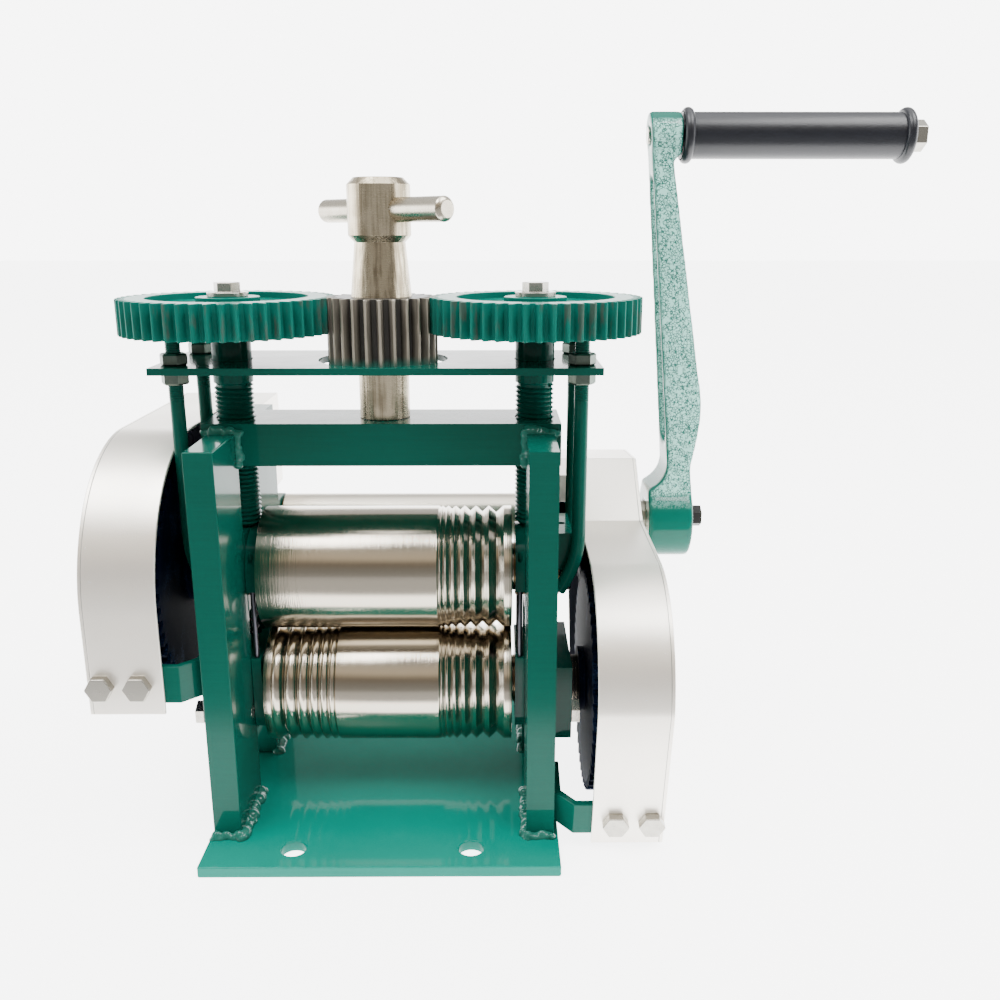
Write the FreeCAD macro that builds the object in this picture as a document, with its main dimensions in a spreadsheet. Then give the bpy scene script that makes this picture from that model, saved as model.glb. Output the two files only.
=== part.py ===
import FreeCAD, Part
import math
import os

import Sketcher

# Hand cranked rolling mill for sheet and wire, built as separate pieces.
# +Z is up, +Y is away from the user, +X is the crank side.  The origin is the
# middle of the underside of the base plate.  All sizes are in millimetres.

document = FreeCAD.newDocument("rolling_mill")
sheet = document.addObject("Spreadsheet::Sheet", "sizes")

SIZES = {
    # base plate and the welded frame
    "base_width": 152.0,
    "base_depth": 152.0,
    "base_thick": 5.0,
    "base_bore": 10.5,
    "base_pitch_wide": 76.0,
    "base_pitch_deep": 126.0,
    "leg_thick": 12.0,
    "leg_depth": 37.5,
    "leg_top": 177.0,
    "window_width": 35.0,
    "bar_overhang": 3.0,
    "bar_height": 18.5,
    "bar_rise": 4.0,
    "weld_leg": 5.0,
    # rollers, necks and bushes
    "roller_length": 112.0,
    "roller_diameter": 56.0,
    "roller_gap": 0.3,
    "roller_side": 1.6,
    "lower_axis": 54.5,
    "neck_diameter": 22.0,
    "neck_play": 0.05,
    "bush_wall": 2.0,
    "bush_play": 0.05,
    "bush_length": 20.0,
    "end_land": 3.5,
    "vee_first": 6.8,
    "vee_step": 0.86,
    "vee_ratio": 0.45,
    "round_first": 6.3,
    "round_step": 0.68,
    "round_land": 0.3,
    "round_ratio": 0.55,
    # bearing blocks
    "block_play": 0.2,
    "flange_thick": 4.2,
    "flange_half": 20.0,
    "flange_round": 7.0,
    "lug_half": 16.0,
    "lug_reach": 8.5,
    "upper_above": 20.7,
    "upper_below": 15.0,
    "upper_flange_drop": 5.3,
    "lug_rise": 3.7,
    "lower_below": 17.0,
    "lower_above": 19.0,
    "foot_half": 27.0,
    "foot_thick": 9.0,
    "foot_top_drop": 1.5,
    "oil_bore": 4.0,
    "guide_diameter": 2.2,
    "guide_play": 0.1,
    "guide_side": 17.5,
    "guide_deep": 20.0,
    "guide_enter": 8.0,
    "spring_diameter": 6.0,
    "spring_wire": 1.2,
    "spring_side": 12.0,
    "spring_turns": 4.0,
    "spring_facets": 8.0,
    "spring_deep": 4.0,
    "spring_bore_play": 0.6,
    # roller drive
    "tooth_module": 2.0,
    "tooth_height": 0.8,
    "tooth_play": 0.30,
    "roller_teeth": 50.0,
    "drive_teeth": 24.0,
    "idler_teeth": 13.0,
    "gear_gap": 7.5,
    "gear_width": 14.0,
    "gear_seat": 10.0,
    "gear_hub": 15.0,
    "gear_hub_long": 3.0,
    "drive_rise": 2.5,
    "spacer_diameter": 24.4,
    "journal_diameter": 16.0,
    "drive_bush_wall": 2.0,
    "drive_bush_play": 0.05,
    "bearing_half": 12.5,
    "bearing_thick": 11.0,
    "pinion_hub": 13.0,
    "pinion_hub_long": 14.0,
    "stud_diameter": 10.0,
    "stud_collar": 16.0,
    "stud_play": 0.05,
    "side_play": 0.3,
    "washer_thick": 2.0,
    "clip_wall": 3.0,
    "stud_end": 1.0,
    # gear guards
    "guard_sheet": 1.5,
    "guard_width": 31.3,
    "guard_case_lap": 4.3,
    "guard_room": 3.8,
    "guard_shaft_way": 4.0,
    "left_guard_lap": 2.2,
    "left_guard_way": 13.4,
    "left_guard_centre": 5.5,
    "left_guard_rise": 64.2,
    "left_guard_drop": 44.3,
    "right_guard_lap": 0.5,
    "right_guard_radius": 50.3,
    "right_guard_centre": 21.0,
    "right_guard_middle": 16.0,
    "right_guard_foot": 57.0,
    "right_guard_drop": 51.5,
    "right_crease_before": 41.0,
    "right_crease_rise": 9.3,
    "right_brow_before": 10.0,
    "right_brow_way": 8.1,
    "right_back_way": 4.1,
    "right_tail_before": 12.0,
    "right_waist_drop": 30.8,
    "strap_thick": 3.0,
    "strap_height": 16.5,
    "strap_reach": 28.0,
    "strap_lift": 4.5,
    "strap_bend": 8.0,
    "strap_fold": 1.2,
    "strap_tab": 26.0,
    "strap_bolt_near": 10.0,
    "strap_bolt_far": 25.5,
    # top gear plate and its stays
    "plate_thick": 3.0,
    "plate_rise": 25.5,
    "plate_rim": 3.0,
    "plate_way": 4.24,
    "screw_way": 0.5,
    "stay_diameter": 6.0,
    "stay_out": 11.0,
    "stay_edge": 8.0,
    "stay_deep": 40.0,
    "stay_tip_way": 0.7,
    "stay_bend_rise": 7.7,
    "stay_foot_drop": 12.0,
    "stay_foot_way": 2.61,
    "stay_bend": 45.0,
    # pressure screws and the adjusting gears
    "screw_inset": 4.0,
    "screw_diameter": 17.0,
    "screw_chamfer": 1.5,
    "screw_play": 0.1,
    "screw_spigot": 12.0,
    "screw_washer": 17.4,
    "screw_teeth": 50.0,
    "adjust_teeth": 25.0,
    "top_gear_over": 11.7,
    "top_gear_thick": 15.0,
    "top_gear_rim": 34.0,
    "top_gear_hub": 13.5,
    "top_gear_dish": 3.0,
    "pinion_drop": 2.6,
    "pinion_tall": 29.4,
    "spindle_diameter": 22.0,
    "spindle_core": 16.0,
    "pivot_diameter": 12.0,
    "pivot_deep": 12.0,
    "pivot_play": 0.05,
    "cone_low": 26.0,
    "cone_high": 21.6,
    "cone_tall": 22.4,
    "head_diameter": 26.6,
    "head_tall": 26.0,
    "head_chamfer": 2.8,
    "tee_diameter": 10.0,
    "tee_right": 42.5,
    "tee_left": 38.0,
    "tee_bevel": 1.4,
    "tee_turn": 45.0,
    "tee_pin": 3.0,
    # crank, its bolt and the hand grip
    "crank_throw": 191.2,
    "crank_way": 6.7,
    "crank_hub_long": 22.8,
    "crank_hub_radius": 20.9,
    "crank_eye_lean": 5.7,
    "crank_eye_long": 16.2,
    "crank_eye_radius": 11.0,
    "crank_washer": 15.0,
    "arm_low_half": 14.0,
    "arm_high_half": 8.5,
    "arm_root_rise": 17.5,
    "arm_shoulder_rise": 31.6,
    "arm_shoulder_in": 9.0,
    "arm_fillet": 14.0,
    "arm_cheek_rise": 14.0,
    "arm_waist_rise": 29.0,
    "arm_waist_in": 1.6,
    "arm_bulge_rise": 45.0,
    "arm_bulge_out": 1.4,
    "arm_bulge_end": 74.6,
    "arm_bulge_end_out": 0.6,
    "arm_bulge_round": 72.0,
    "arm_tip_in": 4.0,
    "recess_low_rise": 41.0,
    "recess_high_drop": 19.0,
    "recess_low_half": 8.5,
    "recess_high_half": 4.5,
    "recess_deep": 6.0,
    "grip_diameter": 22.0,
    "grip_bead": 26.0,
    "grip_bead_long": 7.0,
    "grip_bead_round": 2.0,
    "grip_length": 110.2,
    "grip_bore": 8.0,
    "grip_play": 0.1,
    # fasteners
    "small_bolt": 6.0,
    "small_head": 10.0,
    "small_head_tall": 4.0,
    "small_nut_tall": 5.0,
    "large_head": 13.0,
    "large_head_tall": 5.3,
    "large_nut_tall": 6.5,
}

NODES = {}


def fill_sheet():
    """Write every driving size into the spreadsheet and give it its alias."""
    for row, (alias, value) in enumerate(SIZES.items(), start=1):
        sheet.set("A%d" % row, alias)
        sheet.set("B%d" % row, str(value))
        sheet.setAlias("B%d" % row, alias)
    document.recompute()


def number(expression):
    """Value of an expression on the sheet, for the first guess of a sketch."""
    result = sheet.evalExpression(expression)
    return float(getattr(result, "Value", result))


def vector(x, y, z):
    return FreeCAD.Vector(number(x), number(y), number(z))


def keep(thing, label):
    """Name a finished piece, so that it is checked and written."""
    thing.Label = label
    NODES[label] = thing
    return thing


def bind_place(thing, x, y, z):
    """Tie the place of a piece to expressions."""
    for axis, expression in (("x", x), ("y", y), ("z", z)):
        thing.setExpression("Placement.Base." + axis, expression)


def release_place(thing, spot):
    """Place a piece at a worked out Y and Z in place of its expressions."""
    thing.setExpression("Placement.Base.y", None)
    thing.setExpression("Placement.Base.z", None)
    base = thing.Placement.Base
    thing.Placement.Base = FreeCAD.Vector(base.x, spot[0], spot[1])


# ---------------------------------------------------------------- sketches

def new_body(name, x="0", y="0", z="0"):
    body = document.addObject("PartDesign::Body", name)
    bind_place(body, x, y, z)
    return body


def new_sketch(body, name, role, shift="0"):
    """Sketch on one of the body's own origin planes, moved along its normal."""
    sketch = body.newObject("Sketcher::SketchObject", name)
    plane = [f for f in body.Origin.OriginFeatures if f.Role == role][0]
    sketch.AttachmentSupport = [(plane, "")]
    sketch.MapMode = "FlatFace"
    sketch.setExpression("AttachmentOffset.Base.z", shift)
    return sketch


def arc_edge(start, end, radius, turn):
    """Shorter arc between two points; turn is 1 where it runs anticlockwise."""
    chord = end - start
    middle = (start + end) * 0.5
    half = chord.Length / 2.0
    rise = math.sqrt(max(radius * radius - half * half, 0.0))
    left = FreeCAD.Vector(-chord.y, chord.x, 0).normalize()
    centre = middle + left * (rise * turn)
    first = math.atan2(start.y - centre.y, start.x - centre.x)
    last = math.atan2(end.y - centre.y, end.x - centre.x)
    circle = Part.Circle(centre, FreeCAD.Vector(0, 0, 1), radius)
    if turn > 0:
        return Part.ArcOfCircle(circle, first, last)
    return Part.ArcOfCircle(circle, last, first)


def outline(sketch, corners, arcs=None):
    """Closed outline with every corner held by expressions.

    corners is a list of (x, y) expressions; arcs maps the number of an edge
    to its (radius expression, turn).
    """
    arcs = arcs or {}
    points = [vector(x, y, "0") for x, y in corners]
    count = len(points)
    ends = []
    for edge in range(count):
        start = points[edge]
        end = points[(edge + 1) % count]
        if edge in arcs:
            radius, turn = arcs[edge]
            sketch.addGeometry(arc_edge(start, end, number(radius), turn), False)
            ends.append((1, 2) if turn > 0 else (2, 1))
        else:
            sketch.addGeometry(Part.LineSegment(start, end), False)
            ends.append((1, 2))
    for edge in range(count):
        after = (edge + 1) % count
        sketch.addConstraint(
            Sketcher.Constraint("Coincident", edge, ends[edge][1], after, ends[after][0]))
    for edge, (x, y) in enumerate(corners):
        for kind, expression, value in (("DistanceX", x, points[edge].x),
                                        ("DistanceY", y, points[edge].y)):
            held = sketch.addConstraint(
                Sketcher.Constraint(kind, -1, 1, edge, ends[edge][0], value))
            sketch.setExpression("Constraints[%d]" % held, expression)
    for edge, (radius, turn) in arcs.items():
        held = sketch.addConstraint(Sketcher.Constraint("Radius", edge, number(radius)))
        sketch.setExpression("Constraints[%d]" % held, radius)


def rectangle(sketch, left, right, bottom, top):
    outline(sketch, [(left, bottom), (right, bottom), (right, top), (left, top)])


def ring(sketch, x, y, radius):
    """Circle whose centre and radius are held by expressions."""
    circle = Part.Circle(vector(x, y, "0"), FreeCAD.Vector(0, 0, 1), number(radius))
    edge = sketch.addGeometry(circle, False)
    for kind, expression in (("DistanceX", x), ("DistanceY", y)):
        held = sketch.addConstraint(
            Sketcher.Constraint(kind, -1, 1, edge, 3, number(expression)))
        sketch.setExpression("Constraints[%d]" % held, expression)
    held = sketch.addConstraint(Sketcher.Constraint("Radius", edge, number(radius)))
    sketch.setExpression("Constraints[%d]" % held, radius)


# ---------------------------------------------------------------- features

def pad(body, sketch, length, reverse=False, both=False):
    feature = body.newObject("PartDesign::Pad", sketch.Name + "_pad")
    feature.Profile = sketch
    feature.setExpression("Length", length)
    feature.Reversed = reverse
    feature.Midplane = both
    sketch.Visibility = False
    document.recompute()
    return feature


def pocket(body, sketch, length=None, reverse=False):
    """Cut a sketch into the body, and make sure that it really cuts."""
    before = body.Shape.Volume
    feature = body.newObject("PartDesign::Pocket", sketch.Name + "_cut")
    feature.Profile = sketch
    if length is None:
        feature.Type = "ThroughAll"
        feature.Midplane = True
    else:
        feature.setExpression("Length", length)
        feature.Reversed = reverse
    sketch.Visibility = False
    document.recompute()
    if body.Shape.Volume > before - 1e-6:
        raise RuntimeError(sketch.Name + " cuts nothing")
    return feature


def revolve(body, sketch, axis):
    feature = body.newObject("PartDesign::Revolution", sketch.Name + "_turn")
    feature.Profile = sketch
    feature.ReferenceAxis = (sketch, [axis])
    feature.Angle = 360.0
    sketch.Visibility = False
    document.recompute()
    return feature


def turned(label, role, axis, corners, arcs=None, x="0", y="0", z="0"):
    """Body of one revolved half section."""
    body = new_body(label, x, y, z)
    sketch = new_sketch(body, label + "_section", role)
    outline(sketch, corners, arcs)
    revolve(body, sketch, axis)
    return keep(body, label)


# ---------------------------------------------------------------- primitives

ALONG_X = FreeCAD.Rotation(FreeCAD.Vector(0, 1, 0), 90)
ALONG_Z = FreeCAD.Rotation()
# Turns a flat gear so that its own x and y lie along Y and Z, its axis along X.
GEAR_ALONG_X = FreeCAD.Rotation(FreeCAD.Vector(1, 1, 1), 120)


def box(name, low, size):
    """Block from its low corner and its size, both lists of expressions."""
    block = document.addObject("Part::Box", name)
    for side, expression in zip(("Length", "Width", "Height"), size):
        block.setExpression(side, expression)
    bind_place(block, *low)
    return block


def cylinder(name, base, radius, length, turn=ALONG_Z):
    rod = document.addObject("Part::Cylinder", name)
    rod.Placement = FreeCAD.Placement(FreeCAD.Vector(), turn)
    rod.setExpression("Radius", radius)
    rod.setExpression("Height", length)
    bind_place(rod, *base)
    return rod


def hexagon(name, base, across, height, turn=ALONG_Z):
    """Six sided head or nut, by its size across flats."""
    prism = document.addObject("Part::Prism", name)
    prism.Polygon = 6
    prism.Placement = FreeCAD.Placement(FreeCAD.Vector(), turn)
    prism.setExpression("Circumradius", across + " / 2 / cos(30)")
    prism.setExpression("Height", height)
    bind_place(prism, *base)
    return prism


def fuse(name, parts):
    joined = document.addObject("Part::MultiFuse", name)
    joined.Shapes = parts
    joined.Refine = True
    return joined


def cut(name, base, tool):
    result = document.addObject("Part::Cut", name)
    result.Base = base
    result.Tool = tool
    document.recompute()
    if result.Shape.Volume > base.Shape.Volume - 1e-6:
        raise RuntimeError(name + " cuts nothing")
    return result


def group(name, parts):
    """Separate solids that share one node."""
    together = document.addObject("Part::Compound", name)
    together.Links = parts
    return together


# ---------------------------------------------------------------- shared places

UPPER_AXIS = "(sizes.lower_axis + sizes.roller_diameter + sizes.roller_gap)"
FLANGE_INNER = "(sizes.roller_length / 2 + sizes.roller_side)"
INNER_FACE = "(%s + sizes.flange_thick + sizes.block_play)" % FLANGE_INNER
OUTER_FACE = "(%s + sizes.leg_thick)" % INNER_FACE
WINDOW_HALF = "(sizes.window_width / 2)"
FRAME_HALF = "(sizes.window_width / 2 + sizes.leg_depth)"
BAR_TOP = "(sizes.leg_top + sizes.bar_rise)"
BAR_BASE = "(sizes.leg_top + sizes.bar_rise - sizes.bar_height)"
NECK = "(sizes.neck_diameter / 2)"
BUSH = "(sizes.neck_diameter / 2 + sizes.neck_play + sizes.bush_wall)"
BLOCK_TOP = "(%s + sizes.upper_above)" % UPPER_AXIS
LOWER_TOP = "(sizes.lower_axis + sizes.lower_above)"
BOLT_SIDE = "((sizes.window_width / 2 + sizes.foot_half) / 2)"
BOLT_Z = "(sizes.lower_axis - sizes.small_bolt)"

# the side gears, from the outside of the lower bearing blocks outwards
GEAR_INNER = "(%s + sizes.foot_thick + sizes.gear_gap)" % OUTER_FACE
GEAR_OUTER = "(%s + sizes.gear_width)" % GEAR_INNER
ROLLER_TIP = "(sizes.tooth_module * (sizes.roller_teeth / 2 + sizes.tooth_height))"
PINION_TIP = "(sizes.tooth_module * (sizes.drive_teeth / 2 + sizes.tooth_height))"
DRIVE_Y = "(sizes.tooth_module * (sizes.roller_teeth + sizes.drive_teeth) / 2)"
DRIVE_Z = "(%s + sizes.drive_rise)" % UPPER_AXIS
JOURNAL = "(sizes.journal_diameter / 2)"
DRIVE_BUSH = "(sizes.journal_diameter / 2 + sizes.drive_bush_play + sizes.drive_bush_wall)"

# the guards and the crank outside them
LEFT_GUARD_INNER = "(%s - sizes.left_guard_lap)" % GEAR_INNER
RIGHT_GUARD_INNER = "(%s - sizes.right_guard_lap)" % GEAR_INNER
CRANK_INNER = "(%s + sizes.guard_width + sizes.crank_way)" % RIGHT_GUARD_INNER
EYE_INNER = "(%s - sizes.crank_eye_lean)" % CRANK_INNER
EYE_OUTER = "(%s + sizes.crank_eye_long)" % EYE_INNER

# the adjusting gears over the crossbar
SCREW_X = "(%s + sizes.screw_inset)" % INNER_FACE
TOP_MODULE = "(2 * %s / (sizes.screw_teeth + sizes.adjust_teeth))" % SCREW_X
PLATE_BORE = "(%s * (sizes.adjust_teeth + 2) + 2 * sizes.plate_way)" % TOP_MODULE
PLATE_TOP = "(%s + sizes.plate_rise)" % BAR_TOP
TOP_GEAR_BASE = "(%s + sizes.top_gear_over)" % PLATE_TOP
PINION_BASE = "(%s - sizes.pinion_drop)" % PLATE_TOP
STAY_X = "(%s + sizes.stay_out)" % OUTER_FACE

SIDES = (("left", "-"), ("right", ""))


def mirrored_start(sign, near, length):
    """Low X of a span that begins at near on either side of the middle."""
    if sign == "-":
        return "-(%s + %s)" % (near, length)
    return near


# ---------------------------------------------------------------- gear teeth

PRESSURE_ANGLE = 20.0
ROOT_DEPTH = 1.15


def tooth_flank(module, teeth, play, height):
    """Radius and half angle of a tooth at its root, pitch circle and tip."""
    pitch = module * teeth / 2.0
    base = pitch * math.cos(math.radians(PRESSURE_ANGLE))
    tip = pitch + height * module
    root = pitch - ROOT_DEPTH * module
    half_at_pitch = math.pi / (2.0 * teeth) - play / (2.0 * pitch)

    def half_angle(radius):
        return half_at_pitch + involute(base, pitch) - involute(base, max(radius, base))

    return [(root, half_angle(root)), (pitch, half_at_pitch), (tip, half_angle(tip))]


def involute(base, radius):
    """Angle an involute has turned through where it reaches a radius."""
    pressure = math.acos(min(base / radius, 1.0))
    return math.tan(pressure) - pressure


def gear_disc(module, teeth, play, height, width, phase):
    """Toothed disc from z = 0 upwards, with a tooth at the angle phase."""
    flank = tooth_flank(module, teeth, play, height)
    profile = [(radius, -half) for radius, half in flank]
    profile += [(radius, half) for radius, half in reversed(flank)]
    points = []
    for tooth in range(teeth):
        middle = phase + 2.0 * math.pi * tooth / teeth
        for radius, offset in profile:
            angle = middle + offset
            points.append(FreeCAD.Vector(radius * math.cos(angle),
                                         radius * math.sin(angle), 0))
    points.append(points[0])
    face = Part.Face(Part.makePolygon(points))
    return face.extrude(FreeCAD.Vector(0, 0, width))


def mating_phase(driver_teeth, driver_phase, driven_teeth, direction):
    """Tooth angle of a driven gear that lies in the given direction."""
    pitch = 2.0 * math.pi / driver_teeth
    behind = (direction - driver_phase) % pitch
    gap = direction + math.pi + behind * driver_teeth / driven_teeth
    return gap + math.pi / driven_teeth


def place_shape(label, shape, base, turn):
    """Part::Feature for a shape made in code, placed afterwards."""
    feature = document.addObject("Part::Feature", label)
    feature.Shape = shape
    feature.Placement = FreeCAD.Placement(base, turn)
    return keep(feature, label)


def side_gear(label, teeth, centre, phase, low_x, bore, hub=None):
    """Drive gear on an axis along X; hub is (low x, radius, length)."""
    width = number("sizes.gear_width")
    shape = gear_disc(number("sizes.tooth_module"), teeth, number("sizes.tooth_play"),
                      number("sizes.tooth_height"), width, phase)
    low, high = 0.0, width
    if hub:
        start = hub[0] - low_x
        shape = shape.fuse(Part.makeCylinder(hub[1], hub[2], FreeCAD.Vector(0, 0, start)))
        low, high = min(low, start), max(high, start + hub[2])
    shape = shape.cut(Part.makeCylinder(bore, high - low, FreeCAD.Vector(0, 0, low)))
    return place_shape(label, shape.removeSplitter(),
                       FreeCAD.Vector(low_x, centre[0], centre[1]), GEAR_ALONG_X)


# ---------------------------------------------------------------- frame

def make_base():
    body = new_body("base_plate")
    plan = new_sketch(body, "base_plan", "XY_Plane")
    rectangle(plan, "-sizes.base_width / 2", "sizes.base_width / 2",
              "-sizes.base_depth / 2", "sizes.base_depth / 2")
    pad(body, plan, "sizes.base_thick")
    holes = new_sketch(body, "base_holes", "XY_Plane")
    for across in ("-", ""):
        for along in ("-", ""):
            ring(holes, across + "sizes.base_pitch_wide / 2",
                 along + "sizes.base_pitch_deep / 2", "sizes.base_bore / 2")
    pocket(body, holes)
    keep(body, "base_plate")


def bolt_places():
    """Centres of the four bolts that hold the lower bearing blocks."""
    return [(side, sign, end + BOLT_SIDE, BOLT_Z) for side, sign in SIDES for end in ("-", "")]


def make_legs():
    """Four flat bars that stand on the base, two on each side of the window."""
    for side, sign in SIDES:
        for place, end in (("front", "-"), ("rear", "")):
            name = "leg_%s_%s" % (place, side)
            low_y = "-" + FRAME_HALF if end == "-" else WINDOW_HALF
            low_x = mirrored_start(sign, INNER_FACE, "sizes.leg_thick")
            bar = box(name + "_bar", [low_x, low_y, "sizes.base_thick"],
                      ["sizes.leg_thick", "sizes.leg_depth", "sizes.leg_top - sizes.base_thick"])
            holes = [cylinder(name + "_bolt_hole",
                              [low_x, end + BOLT_SIDE, BOLT_Z],
                              "sizes.small_bolt / 2", "sizes.leg_thick", ALONG_X)]
            if name == "leg_rear_right":
                spot = idler_centre()
                stud = cylinder(name + "_stud_hole", [low_x, "0", "0"],
                                "sizes.stud_diameter / 2", "sizes.leg_thick", ALONG_X)
                release_place(stud, spot)
                holes.append(stud)
            tool = holes[0] if len(holes) == 1 else fuse(name + "_holes", holes)
            keep(cut(name + "_cut", bar, tool), name)


def make_crossbar():
    """Solid bar across the top, threaded for the screws, bored for the spindle."""
    half = "(%s + sizes.bar_overhang)" % OUTER_FACE
    body = new_body("head_crossbar", "0", "0", BAR_BASE)
    plan = new_sketch(body, "crossbar_plan", "XY_Plane")
    rectangle(plan, "-" + half, half, "-" + WINDOW_HALF, WINDOW_HALF)
    pad(body, plan, "sizes.bar_height")
    bores = new_sketch(body, "crossbar_bores", "XY_Plane")
    for sign in ("-", ""):
        ring(bores, sign + SCREW_X, "0", "sizes.screw_diameter / 2 + sizes.screw_play")
    pocket(body, bores)
    pivot = new_sketch(body, "crossbar_pivot", "XY_Plane", "sizes.bar_height")
    ring(pivot, "0", "0", "sizes.pivot_diameter / 2 + sizes.pivot_play")
    pocket(body, pivot, "sizes.pivot_deep + sizes.side_play")
    keep(body, "head_crossbar")


def weld_bead(name, base, turn, length):
    """Three sided fillet weld along its own z axis."""
    bead = document.addObject("Part::Wedge", name)
    leg = number("sizes.weld_leg")
    bead.Xmin, bead.Ymin, bead.Zmin = 0, 0, 0
    bead.Xmax, bead.Ymax, bead.Zmax = leg, leg, number(length)
    bead.X2min, bead.X2max, bead.Z2min, bead.Z2max = 0, 0, 0, number(length)
    for corner in ("Xmax", "Ymax"):
        bead.setExpression(corner, "sizes.weld_leg")
    bead.setExpression("Zmax", length)
    bead.setExpression("Z2max", length)
    bead.Placement = FreeCAD.Placement(FreeCAD.Vector(), turn)
    bind_place(bead, *base)
    return bead


def make_welds():
    """Beads along the outer foot of each leg and under the crossbar ends."""
    upright_x = {"": FreeCAD.Rotation(FreeCAD.Vector(0, 1, 0), FreeCAD.Vector(0, 0, 1),
                                      FreeCAD.Vector(1, 0, 0), "ZXY"),
                 "-": FreeCAD.Rotation(FreeCAD.Vector(0, 0, 1), FreeCAD.Vector(0, -1, 0),
                                       FreeCAD.Vector(1, 0, 0), "ZXY")}
    beads = []
    for side, sign in SIDES:
        low_x = mirrored_start(sign, INNER_FACE, "sizes.leg_thick")
        for end in ("-", ""):
            name = "weld_%s_%s" % (side, "front" if end else "rear")
            beads.append(weld_bead(name, [low_x, end + FRAME_HALF, "sizes.base_thick"],
                                   upright_x[end], "sizes.leg_thick"))
    keep(group("weld_beads", beads), "weld_beads")


# ---------------------------------------------------------------- bearings

def block_flange(name, sign, low, corners, arcs):
    """Inner flange of a bearing block, by its outline across the mill."""
    body = new_body(name, mirrored_start(sign, FLANGE_INNER, "sizes.flange_thick"), "0", low)
    face = new_sketch(body, name + "_face", "YZ_Plane")
    outline(face, corners, arcs)
    pad(body, face, "sizes.flange_thick")
    return body


def make_lower_blocks():
    """Fixed bearing blocks: a slab in the window and a flange on each side of it."""
    for side, sign in SIDES:
        name = "lower_block_" + side
        low = "sizes.lower_axis - sizes.lower_below"
        tall = "(sizes.lower_below + sizes.lower_above)"
        slab_start = "(%s - sizes.block_play)" % INNER_FACE
        slab = box(name + "_slab",
                   [mirrored_start(sign, slab_start, "sizes.leg_thick + sizes.block_play"),
                    "-%s + sizes.block_play" % WINDOW_HALF, low],
                   ["sizes.leg_thick + sizes.block_play",
                    "sizes.window_width - 2 * sizes.block_play", tall])
        flange = block_flange(name + "_flange", sign, low, [
            ("-sizes.flange_half + sizes.flange_round", "0"),
            ("sizes.flange_half - sizes.flange_round", "0"),
            ("sizes.flange_half", "sizes.flange_round"), ("sizes.flange_half", tall),
            ("-sizes.flange_half", tall), ("-sizes.flange_half", "sizes.flange_round")],
            {1: ("sizes.flange_round", 1), 5: ("sizes.flange_round", 1)})
        foot = box(name + "_foot",
                   [mirrored_start(sign, OUTER_FACE, "sizes.foot_thick"),
                    "-sizes.foot_half", low],
                   ["sizes.foot_thick", "2 * sizes.foot_half",
                    "%s - sizes.foot_top_drop" % tall])
        reach = "(sizes.flange_thick + sizes.block_play + sizes.leg_thick + sizes.foot_thick)"
        tools = [cylinder(name + "_bore",
                          [mirrored_start(sign, FLANGE_INNER, reach), "0", "sizes.lower_axis"],
                          BUSH, reach, ALONG_X)]
        for end in ("-", ""):
            tools.append(cylinder(name + "_bolt_hole" + end.replace("-", "_front"),
                                  [mirrored_start(sign, OUTER_FACE, "sizes.foot_thick"),
                                   end + BOLT_SIDE, BOLT_Z],
                                  "sizes.small_bolt / 2", "sizes.foot_thick", ALONG_X))
            tools.append(cylinder(name + "_guide_hole" + end.replace("-", "_front"),
                                  [sign + guide_x(), end + "sizes.guide_side",
                                   LOWER_TOP + " - sizes.guide_deep"],
                                  "sizes.guide_diameter / 2", "sizes.guide_deep"))
            tools.append(cylinder(name + "_spring_seat" + end.replace("-", "_front"),
                                  [sign + spring_x(), end + "sizes.spring_side",
                                   LOWER_TOP + " - sizes.spring_deep"],
                                  "sizes.spring_diameter / 2 + sizes.spring_bore_play",
                                  "sizes.spring_deep"))
        solid = fuse(name + "_solid", [slab, flange, foot])
        keep(cut(name + "_cut", solid, fuse(name + "_tools", tools)), name)


def guide_x():
    """Middle of the inner flanges, where the guide pins stand."""
    return "(%s + sizes.flange_thick / 2)" % FLANGE_INNER


def spring_x():
    """Middle of the window, where the lift springs stand."""
    return "(%s + sizes.leg_thick / 2)" % INNER_FACE


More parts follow.
